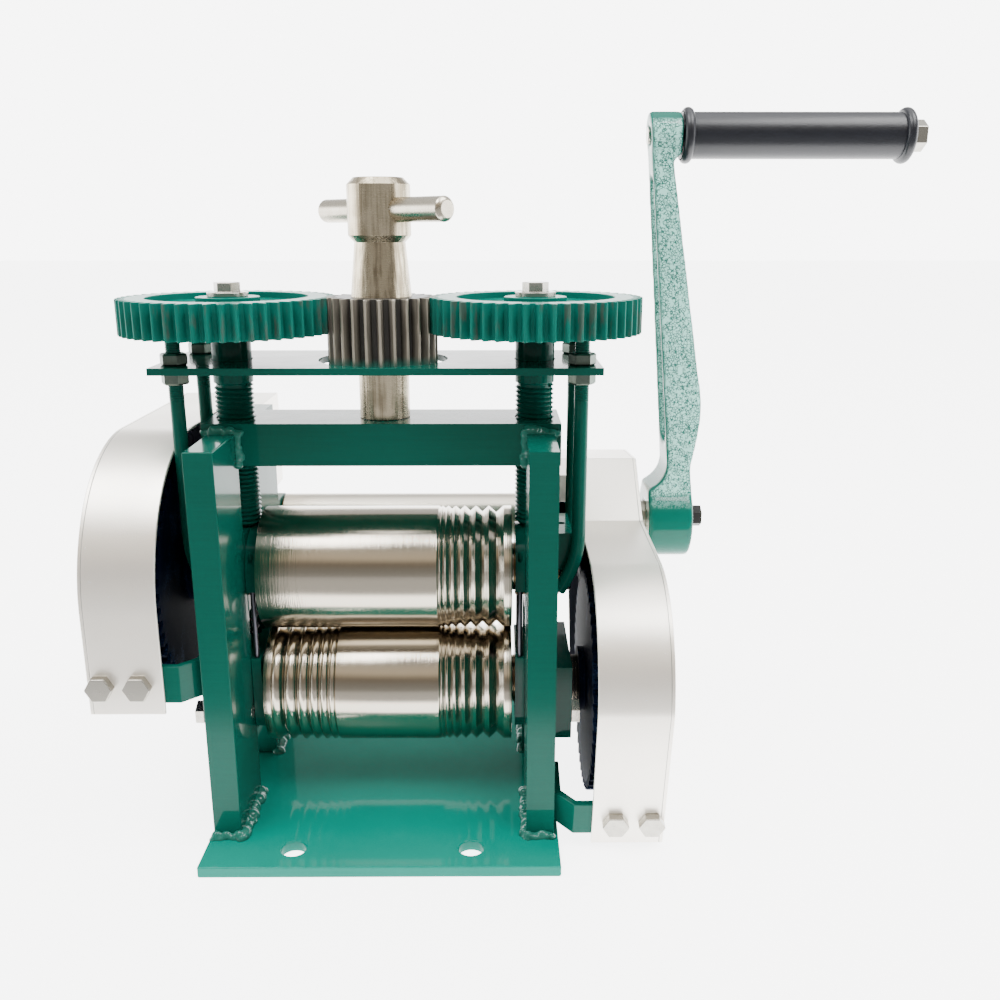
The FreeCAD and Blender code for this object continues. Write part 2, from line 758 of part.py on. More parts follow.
def make_upper_blocks():
    """Sliding bearing blocks that carry the upper roller."""
    for side, sign in SIDES:
        name = "upper_block_" + side
        slab_start = "(%s - sizes.block_play)" % INNER_FACE
        slab_long = "sizes.leg_thick + 2 * sizes.block_play"
        slab = box(name + "_slab",
                   [mirrored_start(sign, slab_start, slab_long),
                    "-%s + sizes.block_play" % WINDOW_HALF,
                    UPPER_AXIS + " - sizes.upper_below"],
                   [slab_long, "sizes.window_width - 2 * sizes.block_play",
                    "sizes.upper_below + sizes.upper_above"])
        top = "(sizes.upper_flange_drop + sizes.upper_above)"
        spring = "(%s - sizes.flange_half)" % top
        flange = block_flange(name + "_flange", sign, UPPER_AXIS + " - sizes.upper_flange_drop", [
            ("-sizes.flange_half", "0"), ("sizes.flange_half", "0"),
            ("sizes.flange_half", spring), ("0", top), ("-sizes.flange_half", spring)],
            {2: ("sizes.flange_half", 1), 3: ("sizes.flange_half", 1)})
        lug = box(name + "_lug",
                  [mirrored_start(sign, OUTER_FACE + " + sizes.block_play", "sizes.lug_reach"),
                   "-sizes.lug_half", UPPER_AXIS + " + sizes.lug_rise"],
                  ["sizes.lug_reach", "2 * sizes.lug_half",
                   "sizes.upper_above - sizes.lug_rise"])
        reach = "(sizes.flange_thick + 2 * sizes.block_play + sizes.leg_thick + sizes.lug_reach)"
        tools = [cylinder(name + "_bore",
                          [mirrored_start(sign, FLANGE_INNER, reach), "0", UPPER_AXIS],
                          BUSH + " + sizes.bush_play", reach, ALONG_X),
                 cylinder(name + "_oil_hole",
                          [sign + "(%s + sizes.block_play + sizes.lug_reach / 2)" % OUTER_FACE,
                           "0", UPPER_AXIS + " + sizes.lug_rise"],
                          "sizes.oil_bore / 2", "sizes.upper_above - sizes.lug_rise")]
        for end in ("-", ""):
            tools.append(cylinder(name + "_guide_hole" + end.replace("-", "_front"),
                                  [sign + guide_x(), end + "sizes.guide_side",
                                   UPPER_AXIS + " - sizes.upper_flange_drop"],
                                  "sizes.guide_diameter / 2 + sizes.guide_play",
                                  "sizes.upper_flange_drop + sizes.upper_above"))
        solid = fuse(name + "_solid", [slab, flange, lug])
        keep(cut(name + "_cut", solid, fuse(name + "_tools", tools)), name)


def make_block_hardware():
    """Bolts of the lower blocks, guide pins and lift springs."""
    bolts = []
    for side, sign, along, height in bolt_places():
        mark = side + ("_front" if along.startswith("-") else "_rear")
        face = "(%s + sizes.foot_thick)" % OUTER_FACE
        head = hexagon("block_bolt_head_" + mark,
                       [mirrored_start(sign, face, "sizes.small_head_tall"), along, height],
                       "sizes.small_head", "sizes.small_head_tall", ALONG_X)
        shank = cylinder("block_bolt_shank_" + mark,
                         [mirrored_start(sign, INNER_FACE,
                                         "sizes.leg_thick + sizes.foot_thick"),
                          along, height],
                         "sizes.small_bolt / 2", "sizes.leg_thick + sizes.foot_thick", ALONG_X)
        bolts.append(fuse("block_bolt_" + mark, [head, shank]))
    keep(group("block_bolts", bolts), "block_bolts")
    pins = []
    springs = []
    for side, sign in SIDES:
        for end in ("-", ""):
            mark = side + ("_front" if end else "_rear")
            foot = LOWER_TOP + " - sizes.guide_deep"
            pins.append(cylinder("guide_pin_" + mark,
                                 [sign + guide_x(), end + "sizes.guide_side", foot],
                                 "sizes.guide_diameter / 2",
                                 "%s - sizes.upper_flange_drop + sizes.guide_enter - (%s)"
                                 % (UPPER_AXIS, foot)))
            springs.append(lift_spring("lift_spring_" + mark, sign, end))
    keep(group("guide_pins", pins), "guide_pins")
    keep(group("lift_springs", springs), "lift_springs")


def spring_station(turn, rise, mean, wire):
    """Four corners of the wire at one angle of the coil."""
    outward = FreeCAD.Vector(math.cos(turn), math.sin(turn), 0)
    middle = outward * mean + FreeCAD.Vector(0, 0, rise)
    return [middle + outward * (wire * across) + FreeCAD.Vector(0, 0, wire * along)
            for across, along in ((1, 0), (0, 1), (-1, 0), (0, -1))]


def flat_faces(*loops):
    return [Part.Face(Part.makePolygon(list(loop) + [loop[0]])) for loop in loops]


def lift_spring(name, sign, end):
    """Open coil of flat facets, from its seat to the underside of the sliding block."""
    low = number(LOWER_TOP + " - sizes.spring_deep")
    high = number(UPPER_AXIS + " - sizes.upper_below")
    wire = number("sizes.spring_wire / 2")
    mean = number("sizes.spring_diameter / 2") - wire
    steps = int(number("sizes.spring_turns * sizes.spring_facets"))
    turn = 2.0 * math.pi / number("sizes.spring_facets")
    climb = (high - low - 2.0 * wire) / steps
    stations = [spring_station(turn * k, wire + climb * k, mean, wire)
                for k in range(steps + 1)]
    faces = flat_faces(stations[0], stations[-1])
    for near, far in zip(stations, stations[1:]):
        for side in range(4):
            after = (side + 1) % 4
            faces += flat_faces((near[side], near[after], far[after]),
                                (near[side], far[after], far[side]))
    coil = Part.Solid(Part.Shell(faces))
    if coil.Volume < 0:
        coil.reverse()
    feature = document.addObject("Part::Feature", name)
    feature.Shape = coil
    feature.Placement = FreeCAD.Placement(
        vector(sign + spring_x(), end + "sizes.spring_side", str(low)), ALONG_Z)
    return feature


def make_bushes():
    """Plain bushes: the upper pair floats in the sliding blocks."""
    for side, sign in SIDES:
        for level, axis in (("upper", UPPER_AXIS), ("lower", "sizes.lower_axis")):
            name = "%s_bush_%s" % (level, side)
            low_x = mirrored_start(sign, FLANGE_INNER, "sizes.bush_length")
            turned(name, "XZ_Plane", "H_Axis",
                   [("0", NECK + " + sizes.neck_play"), ("sizes.bush_length",
                                                        NECK + " + sizes.neck_play"),
                    ("sizes.bush_length", BUSH), ("0", BUSH)],
                   x=low_x, z=axis)


# ---------------------------------------------------------------- rollers

def groove_points(first, step, count, start, toward):
    """Left and right edge of each groove in a graded row, as expressions."""
    edges = []
    used = start
    for index in range(count):
        width = "(%s - %d * %s)" % (first, index, step)
        edges.append((used, width))
        used = "%s %s %s" % (used, toward, width)
    return edges, used


def roller_section(gear_side, rounded):
    """Half section of a roller: necks, barrel with its grooves, gear seat."""
    radius = "sizes.roller_diameter / 2"
    half = "sizes.roller_length / 2"
    short = "(%s + sizes.foot_thick)" % OUTER_FACE
    seat = "(%s + sizes.side_play)" % GEAR_OUTER
    shoulder = "(%s - sizes.gear_hub_long)" % GEAR_INNER
    tip_left, tip_right = (seat, short) if gear_side == "left" else (short, seat)
    corners = []
    arcs = {}

    def add(x, y):
        corners.append((x, y))

    add("-" + tip_left, "0")
    if gear_side == "left":
        add("-" + tip_left, "sizes.gear_seat")
        add("-" + shoulder, "sizes.gear_seat")
        add("-" + shoulder, NECK)
    else:
        add("-" + tip_left, NECK)
    add("-" + half, NECK)
    add("-" + half, radius)
    if rounded:
        rows, _ = groove_points("sizes.round_first", "sizes.round_step", 6,
                                "-%s + sizes.end_land" % half, "+")
        for index, (start, width) in enumerate(rows):
            gap = "%d * sizes.round_land" % index
            arcs[len(corners)] = ("sizes.round_ratio * " + width, 1)
            add("%s + %s" % (start, gap), radius)
            add("%s + %s + %s" % (start, gap, width), radius)
    vees, _ = groove_points("sizes.vee_first", "sizes.vee_step", 7,
                            "%s - sizes.end_land" % half, "-")
    for start, width in reversed(vees):
        add("%s - %s" % (start, width), radius)
        add("%s - %s / 2" % (start, width), "%s - sizes.vee_ratio * %s" % (radius, width))
    add("%s - sizes.end_land" % half, radius)
    add(half, radius)
    add(half, NECK)
    if gear_side == "right":
        add(shoulder, NECK)
        add(shoulder, "sizes.gear_seat")
        add(tip_right, "sizes.gear_seat")
    else:
        add(tip_right, NECK)
    add(tip_right, "0")
    return corners, arcs


def end_bolt(label, side_sign, y, z, face, head, tall, washer):
    """Washer and hex bolt on the end of a shaft whose end face is at face."""
    parts = [
        cylinder(label + "_washer",
                 [mirrored_start(side_sign, face, "sizes.washer_thick"), y, z],
                 washer, "sizes.washer_thick", ALONG_X),
        hexagon(label + "_head",
                [mirrored_start(side_sign, "(%s + sizes.washer_thick)" % face, tall), y, z],
                head, tall, ALONG_X)]
    keep(fuse(label, parts), label)


def make_rollers():
    corners, arcs = roller_section("left", False)
    turned("upper_roller", "XZ_Plane", "H_Axis", corners, arcs, z=UPPER_AXIS)
    corners, arcs = roller_section("right", True)
    turned("lower_roller", "XZ_Plane", "H_Axis", corners, arcs, z="sizes.lower_axis")
    face = "(%s + sizes.side_play)" % GEAR_OUTER
    for label, sign, axis in (("upper_gear_bolt", "-", UPPER_AXIS),
                              ("lower_gear_bolt", "", "sizes.lower_axis")):
        end_bolt(label, sign, "0", axis, face, "sizes.large_head", "sizes.large_head_tall",
                 "(sizes.gear_hub - sizes.washer_thick / 2)")


# ---------------------------------------------------------------- drive train

def gear_radius(teeth):
    return number("sizes.tooth_module") * teeth / 2.0


def idler_centre():
    """Y and Z of the idler, in mesh with the lower roller gear and the drive pinion."""
    low = (0.0, number("sizes.lower_axis"))
    high = (number(DRIVE_Y), number(DRIVE_Z))
    idler = gear_radius(number("sizes.idler_teeth"))
    near = gear_radius(number("sizes.roller_teeth")) + idler
    far = gear_radius(number("sizes.drive_teeth")) + idler
    across = (high[0] - low[0], high[1] - low[1])
    span = math.hypot(*across)
    along = (near * near - far * far + span * span) / (2.0 * span)
    aside = math.sqrt(near * near - along * along)
    unit = (across[0] / span, across[1] / span)
    return (low[0] + along * unit[0] - aside * unit[1],
            low[1] + along * unit[1] + aside * unit[0])


def heading(start, end):
    return math.atan2(end[1] - start[1], end[0] - start[0])


def make_drive_gears():
    """The two roller gears, the two drive pinions and the idler, in mesh."""
    inner = number(GEAR_INNER)
    width = number("sizes.gear_width")
    roller_teeth = int(number("sizes.roller_teeth"))
    drive_teeth = int(number("sizes.drive_teeth"))
    idler_teeth = int(number("sizes.idler_teeth"))
    upper = (0.0, number(UPPER_AXIS))
    lower = (0.0, number("sizes.lower_axis"))
    drive = (number(DRIVE_Y), number(DRIVE_Z))
    idler = idler_centre()
    seat = number("sizes.gear_seat")
    hub = (number("sizes.gear_hub"), number("sizes.gear_hub_long"))
    journal = number(JOURNAL)
    pinion_hub = (number("sizes.pinion_hub"), number("sizes.pinion_hub_long"))
    upper_phase = mating_phase(drive_teeth, 0.0, roller_teeth, heading(drive, upper))
    idler_phase = mating_phase(roller_teeth, 0.0, idler_teeth, heading(lower, idler))
    right_phase = mating_phase(idler_teeth, idler_phase, drive_teeth, heading(idler, drive))
    side_gear("upper_roller_gear", roller_teeth, upper, upper_phase, -inner - width, seat,
              (-inner, hub[0], hub[1]))
    side_gear("lower_roller_gear", roller_teeth, lower, 0.0, inner, seat,
              (inner - hub[1], hub[0], hub[1]))
    side_gear("drive_pinion_left", drive_teeth, drive, 0.0, -inner - width, journal,
              (-inner, pinion_hub[0], pinion_hub[1]))
    side_gear("drive_pinion_right", drive_teeth, drive, right_phase, inner, journal,
              (inner - pinion_hub[1], pinion_hub[0], pinion_hub[1]))
    side_gear("idler_gear", idler_teeth, idler, idler_phase, inner,
              number("sizes.stud_diameter / 2 + sizes.stud_play"))


def make_idler_stud():
    """Shouldered stud in the right rear leg, with a clip outside the idler."""
    body = new_body("idler_stud")
    spot = idler_centre()
    radius = "sizes.stud_diameter / 2"
    shoulder = "%s - sizes.side_play" % GEAR_INNER
    end = "%s + 2 * sizes.side_play + sizes.washer_thick + sizes.stud_end" % GEAR_OUTER
    section = new_sketch(body, "idler_stud_section", "XZ_Plane")
    outline(section, [(INNER_FACE, "0"), (end, "0"), (end, radius), (shoulder, radius),
                      (shoulder, "sizes.stud_collar / 2"), (OUTER_FACE, "sizes.stud_collar / 2"),
                      (OUTER_FACE, radius), (INNER_FACE, radius)])
    revolve(body, section, "H_Axis")
    release_place(body, spot)
    keep(body, "idler_stud")
    clip_bore = number(radius)
    clip = Part.makeCylinder(clip_bore + number("sizes.clip_wall"),
                             number("sizes.washer_thick"))
    clip = clip.cut(Part.makeCylinder(clip_bore, number("sizes.washer_thick")))
    place_shape("idler_clip", clip,
                FreeCAD.Vector(number(GEAR_OUTER + " + sizes.side_play"), spot[0], spot[1]),
                ALONG_X)


def make_drive_shaft():
    """Rear shaft: thick between the bearings, journals outside them."""
    left = "(%s + sizes.side_play)" % GEAR_OUTER
    right = "(%s + sizes.crank_hub_long)" % CRANK_INNER
    thick = "sizes.spacer_diameter / 2"
    shoulder = "(%s + sizes.side_play)" % INNER_FACE
    turned("drive_shaft", "XZ_Plane", "H_Axis",
           [("-" + left, "0"), ("-" + left, JOURNAL), ("-" + shoulder, JOURNAL),
            ("-" + shoulder, thick), (shoulder, thick), (shoulder, JOURNAL),
            (right, JOURNAL), (right, "0")],
           y=DRIVE_Y, z=DRIVE_Z)
    end_bolt("drive_end_bolt", "-", DRIVE_Y, DRIVE_Z, left, "sizes.large_head",
             "sizes.large_head_tall", "sizes.pinion_hub")


def make_drive_bearings():
    """Bearing plates behind the rear legs, and the bush in each."""
    for side, sign in SIDES:
        name = "drive_bearing_" + side
        start = "(%s - sizes.bearing_thick)" % OUTER_FACE
        body = new_body(name, mirrored_start(sign, start, "sizes.bearing_thick"),
                        DRIVE_Y, DRIVE_Z)
        face = new_sketch(body, name + "_face", "YZ_Plane")
        front = "%s - %s" % (FRAME_HALF, DRIVE_Y)
        outline(face, [(front, "-sizes.bearing_half"), ("0", "-sizes.bearing_half"),
                       ("sizes.bearing_half", "0"), ("0", "sizes.bearing_half"),
                       (front, "sizes.bearing_half")],
                {1: ("sizes.bearing_half", 1), 2: ("sizes.bearing_half", 1)})
        pad(body, face, "sizes.bearing_thick")
        bore = new_sketch(body, name + "_bore", "YZ_Plane")
        ring(bore, "0", "0", DRIVE_BUSH)
        pocket(body, bore)
        keep(body, name)
        turned("drive_bush_" + side, "XZ_Plane", "H_Axis",
               [("0", JOURNAL + " + sizes.drive_bush_play"),
                ("sizes.bearing_thick", JOURNAL + " + sizes.drive_bush_play"),
                ("sizes.bearing_thick", DRIVE_BUSH), ("0", DRIVE_BUSH)],
               x=mirrored_start(sign, start, "sizes.bearing_thick"), y=DRIVE_Y, z=DRIVE_Z)


# ---------------------------------------------------------------- crank

def crank_body(name, role, corners, arcs, length, shift="0", both=False):
    """One prism of the crank, from an outline about the shaft's axis."""
    body = new_body(name, "0", DRIVE_Y, DRIVE_Z)
    sketch = new_sketch(body, name + "_outline", role, shift)
    outline(sketch, corners, arcs)
    pad(body, sketch, length, both=both)
    return body


def common(name, parts):
    shared = document.addObject("Part::MultiCommon", name)
    shared.Shapes = parts
    return shared


def arm_inner(rise):
    """X of the arm's straight inner face at a height over the shaft."""
    foot = "(%s + sizes.arm_shoulder_in)" % CRANK_INNER
    tall = "(sizes.crank_throw + sizes.crank_eye_radius - sizes.arm_shoulder_rise)"
    return "(%s - (%s - %s) * (%s - sizes.arm_shoulder_rise) / %s)" % (
        foot, foot, EYE_INNER, rise, tall)


def crank_blank():
    """Cast arm: the overlap of its edge-on outline and its broad outline."""
    hub_outer = "(%s + sizes.crank_hub_long)" % CRANK_INNER
    throw = "sizes.crank_throw"
    hub = "sizes.crank_hub_radius"
    eye = "sizes.crank_eye_radius"
    edge_on = crank_body("crank_edge_view", "XZ_Plane", [
        (CRANK_INNER, "-" + hub),
        (hub_outer, "-" + hub),
        (hub_outer, "sizes.arm_cheek_rise"),
        (hub_outer + " - sizes.arm_waist_in", "sizes.arm_waist_rise"),
        (hub_outer + " + sizes.arm_bulge_out", "sizes.arm_bulge_rise"),
        (hub_outer + " + sizes.arm_bulge_end_out", "sizes.arm_bulge_end"),
        (EYE_OUTER + " - sizes.arm_tip_in", "%s - %s" % (throw, eye)),
        (EYE_OUTER, "%s - %s + sizes.arm_tip_in" % (throw, eye)),
        (EYE_OUTER, "%s + %s" % (throw, eye)),
        (EYE_INNER, "%s + %s" % (throw, eye)),
        (arm_inner("sizes.arm_shoulder_rise"), "sizes.arm_shoulder_rise"),
        (CRANK_INNER, "sizes.arm_root_rise")],
        {4: ("sizes.arm_bulge_round", 1), 6: ("sizes.arm_tip_in", 1),
         10: ("sizes.arm_fillet", -1)},
        "2 * " + hub, both=True)
    low_z = "sqrt(%s ^ 2 - sizes.arm_low_half ^ 2)" % hub
    high_z = "%s - sqrt(%s ^ 2 - sizes.arm_high_half ^ 2)" % (throw, eye)
    broad = crank_body("crank_broad_view", "YZ_Plane", [
        ("sizes.arm_low_half", low_z),
        ("sizes.arm_high_half", high_z),
        (eye, throw),
        ("0", throw + " + " + eye),
        ("-" + eye, throw),
        ("-sizes.arm_high_half", high_z),
        ("-sizes.arm_low_half", low_z),
        ("-" + hub, "0"),
        ("0", "-" + hub),
        (hub, "0")],
        {1: (eye, 1), 2: (eye, 1), 3: (eye, 1), 4: (eye, 1),
         6: (hub, 1), 7: (hub, 1), 8: (hub, 1), 9: (hub, 1)},
        "sizes.crank_hub_long + 2 * sizes.crank_eye_long",
        "%s - sizes.crank_eye_long" % EYE_INNER)
    return common("crank_blank", [edge_on, broad])


def crank_recess():
    """Long hollow in the arm's inner face, narrower towards the eye."""
    low = "sizes.recess_low_rise"
    high = "(sizes.crank_throw - sizes.recess_high_drop)"
    outside = "%s - sizes.recess_deep" % EYE_INNER
    edge_on = crank_body("recess_edge_view", "XZ_Plane", [
        (outside, high), (outside, low),
        (arm_inner(low) + " + sizes.recess_deep", low),
        (arm_inner(high) + " + sizes.recess_deep", high)],
        None, "4 * sizes.recess_low_half", both=True)
    broad = crank_body("recess_broad_view", "YZ_Plane", [
        ("sizes.recess_low_half", low + " + sizes.recess_low_half"),
        ("sizes.recess_high_half", high + " - sizes.recess_high_half"),
        ("0", high),
        ("-sizes.recess_high_half", high + " - sizes.recess_high_half"),
        ("-sizes.recess_low_half", low + " + sizes.recess_low_half"),
        ("0", low)],
        {1: ("sizes.recess_high_half", 1), 2: ("sizes.recess_high_half", 1),
         4: ("sizes.recess_low_half", 1), 5: ("sizes.recess_low_half", 1)},
        "sizes.crank_hub_long + 2 * sizes.crank_eye_long",
        "%s - sizes.crank_eye_long" % EYE_INNER)
    return common("crank_recess", [edge_on, broad])


def make_crank():
    """Cast arm with its recess and bores, and the bolt on the shaft's end."""
    bores = fuse("crank_bores", [
        cylinder("crank_hub_bore", [EYE_INNER, DRIVE_Y, DRIVE_Z], JOURNAL,
                 "sizes.crank_hub_long + sizes.crank_eye_long", ALONG_X),
        cylinder("crank_eye_bore",
                 [EYE_INNER + " - sizes.side_play", DRIVE_Y, DRIVE_Z + " + sizes.crank_throw"],
                 "sizes.grip_bore / 2", "sizes.crank_eye_long + 2 * sizes.side_play", ALONG_X),
        crank_recess()])
    keep(cut("crank_cut", crank_blank(), bores), "crank_arm")
    end_bolt("crank_bolt", "", DRIVE_Y, DRIVE_Z, "(%s + sizes.crank_hub_long)" % CRANK_INNER,
             "sizes.small_head", "sizes.large_head_tall", "sizes.crank_washer / 2")


def make_grip():
    """Bolt in the crank eye and the grip that turns on it."""
    high = DRIVE_Z + " + sizes.crank_throw"
    start = "(%s + sizes.side_play)" % EYE_OUTER
    end = "(%s + sizes.grip_length)" % start
    bore = "sizes.grip_bore / 2 + sizes.grip_play"
    body = "sizes.grip_diameter / 2"
    bead = "sizes.grip_bead / 2"
    neck = "sizes.grip_bead_long"
    bevel = "sizes.grip_bead_round"
    flank = "(%s - %s)" % (bead, body)
    turned("hand_grip", "XZ_Plane", "H_Axis", [
        (start, bore), (end, bore), (end, "%s - %s" % (bead, bevel)),
        ("%s - %s" % (end, bevel), bead),
        ("%s - %s + %s" % (end, neck, flank), bead), ("%s - %s" % (end, neck), body),
        ("%s + %s" % (start, neck), body), ("%s + %s - %s" % (start, neck, flank), bead),
        ("%s + %s" % (start, bevel), bead), (start, "%s - %s" % (bead, bevel))],
        y=DRIVE_Y, z=high)
    shank = cylinder("grip_bolt_shank", [EYE_INNER, DRIVE_Y, high], "sizes.grip_bore / 2",
                     "sizes.crank_eye_long + 2 * sizes.side_play + sizes.grip_length", ALONG_X)
    head = hexagon("grip_bolt_head", [end + " + sizes.side_play", DRIVE_Y, high],
                   "sizes.large_head", "sizes.large_nut_tall", ALONG_X)
    keep(fuse("grip_bolt_solid", [shank, head]), "grip_bolt")


# ---------------------------------------------------------------- adjusting gear

def make_plate():
    """Top plate that the adjusting gears turn over, on four bent stays."""
    body = new_body("gear_plate", "0", "0", PLATE_TOP + " - sizes.plate_thick")
    plan = new_sketch(body, "gear_plate_plan", "XY_Plane")
    wide = "(%s + sizes.stay_edge)" % STAY_X
    deep = "(%s / 2 + sizes.plate_rim)" % PLATE_BORE
    rectangle(plan, "-" + wide, wide, "-" + deep, deep)
    pad(body, plan, "sizes.plate_thick")
    holes = new_sketch(body, "gear_plate_holes", "XY_Plane")
    ring(holes, "0", "0", PLATE_BORE + " / 2")
    for across in ("-", ""):
        ring(holes, across + SCREW_X, "0", "sizes.screw_diameter / 2 + sizes.screw_way")
        for along in ("-", ""):
            ring(holes, across + STAY_X, along + "sizes.stay_deep / 2",
                 "sizes.stay_diameter / 2")
    pocket(body, holes)
    keep(body, "gear_plate")


def make_stays():
    """Bent rods from the outer face of each leg up through the plate."""
    foot = "(%s + sizes.stay_foot_way)" % OUTER_FACE
    tip = "(%s - sizes.stay_tip_way)" % TOP_GEAR_BASE
    bend_z = "(%s + sizes.stay_bend_rise)" % UPPER_AXIS
    slope = "atan((%s - %s) / sizes.stay_foot_drop)" % (STAY_X, foot)
    lead = "(sizes.stay_bend * tan(%s / 2))" % slope
    nuts = []
    for side, sign in SIDES:
        for place, end in (("front", "-"), ("rear", "")):
            name = "stay_%s_%s" % (place, side)
            along = end + "sizes.stay_deep / 2"
            body = new_body(name, "0", along, "0")
            reach = sign + STAY_X
            path = new_sketch(body, name + "_path", "XZ_Plane")
            stations = [(reach, tip), (reach, "%s + %s" % (bend_z, lead)),
                        ("%s(%s - %s * sin(%s))" % (sign, STAY_X, lead, slope),
                         "%s - %s * cos(%s)" % (bend_z, lead, slope)),
                        (sign + foot, bend_z + " - sizes.stay_foot_drop")]
            open_path(path, stations, {1: ("sizes.stay_bend", -1 if sign == "" else 1)})
            disc = new_sketch(body, name + "_disc", "XY_Plane", tip)
            ring(disc, reach, "0", "sizes.stay_diameter / 2")
            pipe = body.newObject("PartDesign::AdditivePipe", name + "_pipe")
            pipe.Profile = disc
            pipe.Spine = path
            document.recompute()
            keep(body, name)
            under = "%s - sizes.plate_thick - sizes.small_nut_tall" % PLATE_TOP
            for level, low in (("over", PLATE_TOP), ("under", under)):
                spot = [reach, along, low]
                nut = hexagon("%s_%s_hex" % (name, level), spot, "sizes.small_head",
                              "sizes.small_nut_tall")
                bore = cylinder("%s_%s_bore" % (name, level), spot,
                                "sizes.stay_diameter / 2", "sizes.small_nut_tall")
                nuts.append(cut("%s_%s_nut" % (name, level), nut, bore))
    keep(group("stay_nuts", nuts), "stay_nuts")


def open_path(sketch, stations, arcs):
    """Open run of lines and arcs with every station held by expressions."""
    points = [vector(x, y, "0") for x, y in stations]
    ends = []
    for edge in range(len(points) - 1):
        if edge in arcs:
            radius, turn = arcs[edge]
            sketch.addGeometry(arc_edge(points[edge], points[edge + 1], number(radius), turn),
                               False)
            ends.append((1, 2) if turn > 0 else (2, 1))
        else:
            sketch.addGeometry(Part.LineSegment(points[edge], points[edge + 1]), False)
            ends.append((1, 2))
    for edge in range(len(ends) - 1):
        sketch.addConstraint(
            Sketcher.Constraint("Coincident", edge, ends[edge][1], edge + 1, ends[edge + 1][0]))
    for index, (x, y) in enumerate(stations):
        edge = min(index, len(ends) - 1)
        point = ends[edge][0] if index < len(ends) else ends[edge][1]
        for kind, expression, value in (("DistanceX", x, points[index].x),
                                        ("DistanceY", y, points[index].y)):
            held = sketch.addConstraint(Sketcher.Constraint(kind, -1, 1, edge, point, value))
            sketch.setExpression("Constraints[%d]" % held, expression)
    for edge, (radius, turn) in arcs.items():
        held = sketch.addConstraint(Sketcher.Constraint("Radius", edge, number(radius)))
        sketch.setExpression("Constraints[%d]" % held, radius)


def make_screws():
    """Pressure screws, the gear on each and the bolt that holds it."""
    seat = "(%s + sizes.side_play)" % BLOCK_TOP
    gear_top = "(%s + sizes.top_gear_thick)" % TOP_GEAR_BASE
    radius = "sizes.screw_diameter / 2"
    module = number(TOP_MODULE)
    teeth = int(number("sizes.screw_teeth"))
    pinion_teeth = int(number("sizes.adjust_teeth"))
    for side, sign in SIDES:
        turned("pressure_screw_" + side, "XZ_Plane", "V_Axis",
               [("0", seat), (radius + " - sizes.screw_chamfer", seat),
                (radius, seat + " + sizes.screw_chamfer"), (radius, TOP_GEAR_BASE),
                ("sizes.screw_spigot / 2", TOP_GEAR_BASE),
                ("sizes.screw_spigot / 2", gear_top), ("0", gear_top)],
               x=sign + SCREW_X)
        phase = mating_phase(pinion_teeth, 0.0, teeth, math.pi if sign else 0.0)
        shape = gear_disc(module, teeth, number("sizes.tooth_play"), 1.0,
                          number("sizes.top_gear_thick"), phase)
        dish = Part.makeCylinder(number("sizes.top_gear_rim"), number("sizes.top_gear_dish"))
        dish = dish.cut(Part.makeCylinder(number("sizes.top_gear_hub"),
                                          number("sizes.top_gear_dish")))
        dish.translate(FreeCAD.Vector(0, 0, number("sizes.top_gear_thick - sizes.top_gear_dish")))
        bore = Part.makeCylinder(number("sizes.screw_spigot / 2"),
                                 number("sizes.top_gear_thick"))
        place_shape("screw_gear_" + side, shape.cut(dish).cut(bore),
                    vector(sign + SCREW_X, "0", TOP_GEAR_BASE), ALONG_Z)
        washer = cylinder("screw_washer_" + side, [sign + SCREW_X, "0", gear_top],
                          "sizes.screw_washer / 2", "sizes.washer_thick")
        head = hexagon("screw_bolt_head_" + side,
                       [sign + SCREW_X, "0", gear_top + " + sizes.washer_thick"],
                       "sizes.small_head", "sizes.small_head_tall")
        keep(fuse("screw_bolt_solid_" + side, [washer, head]), "screw_bolt_" + side)


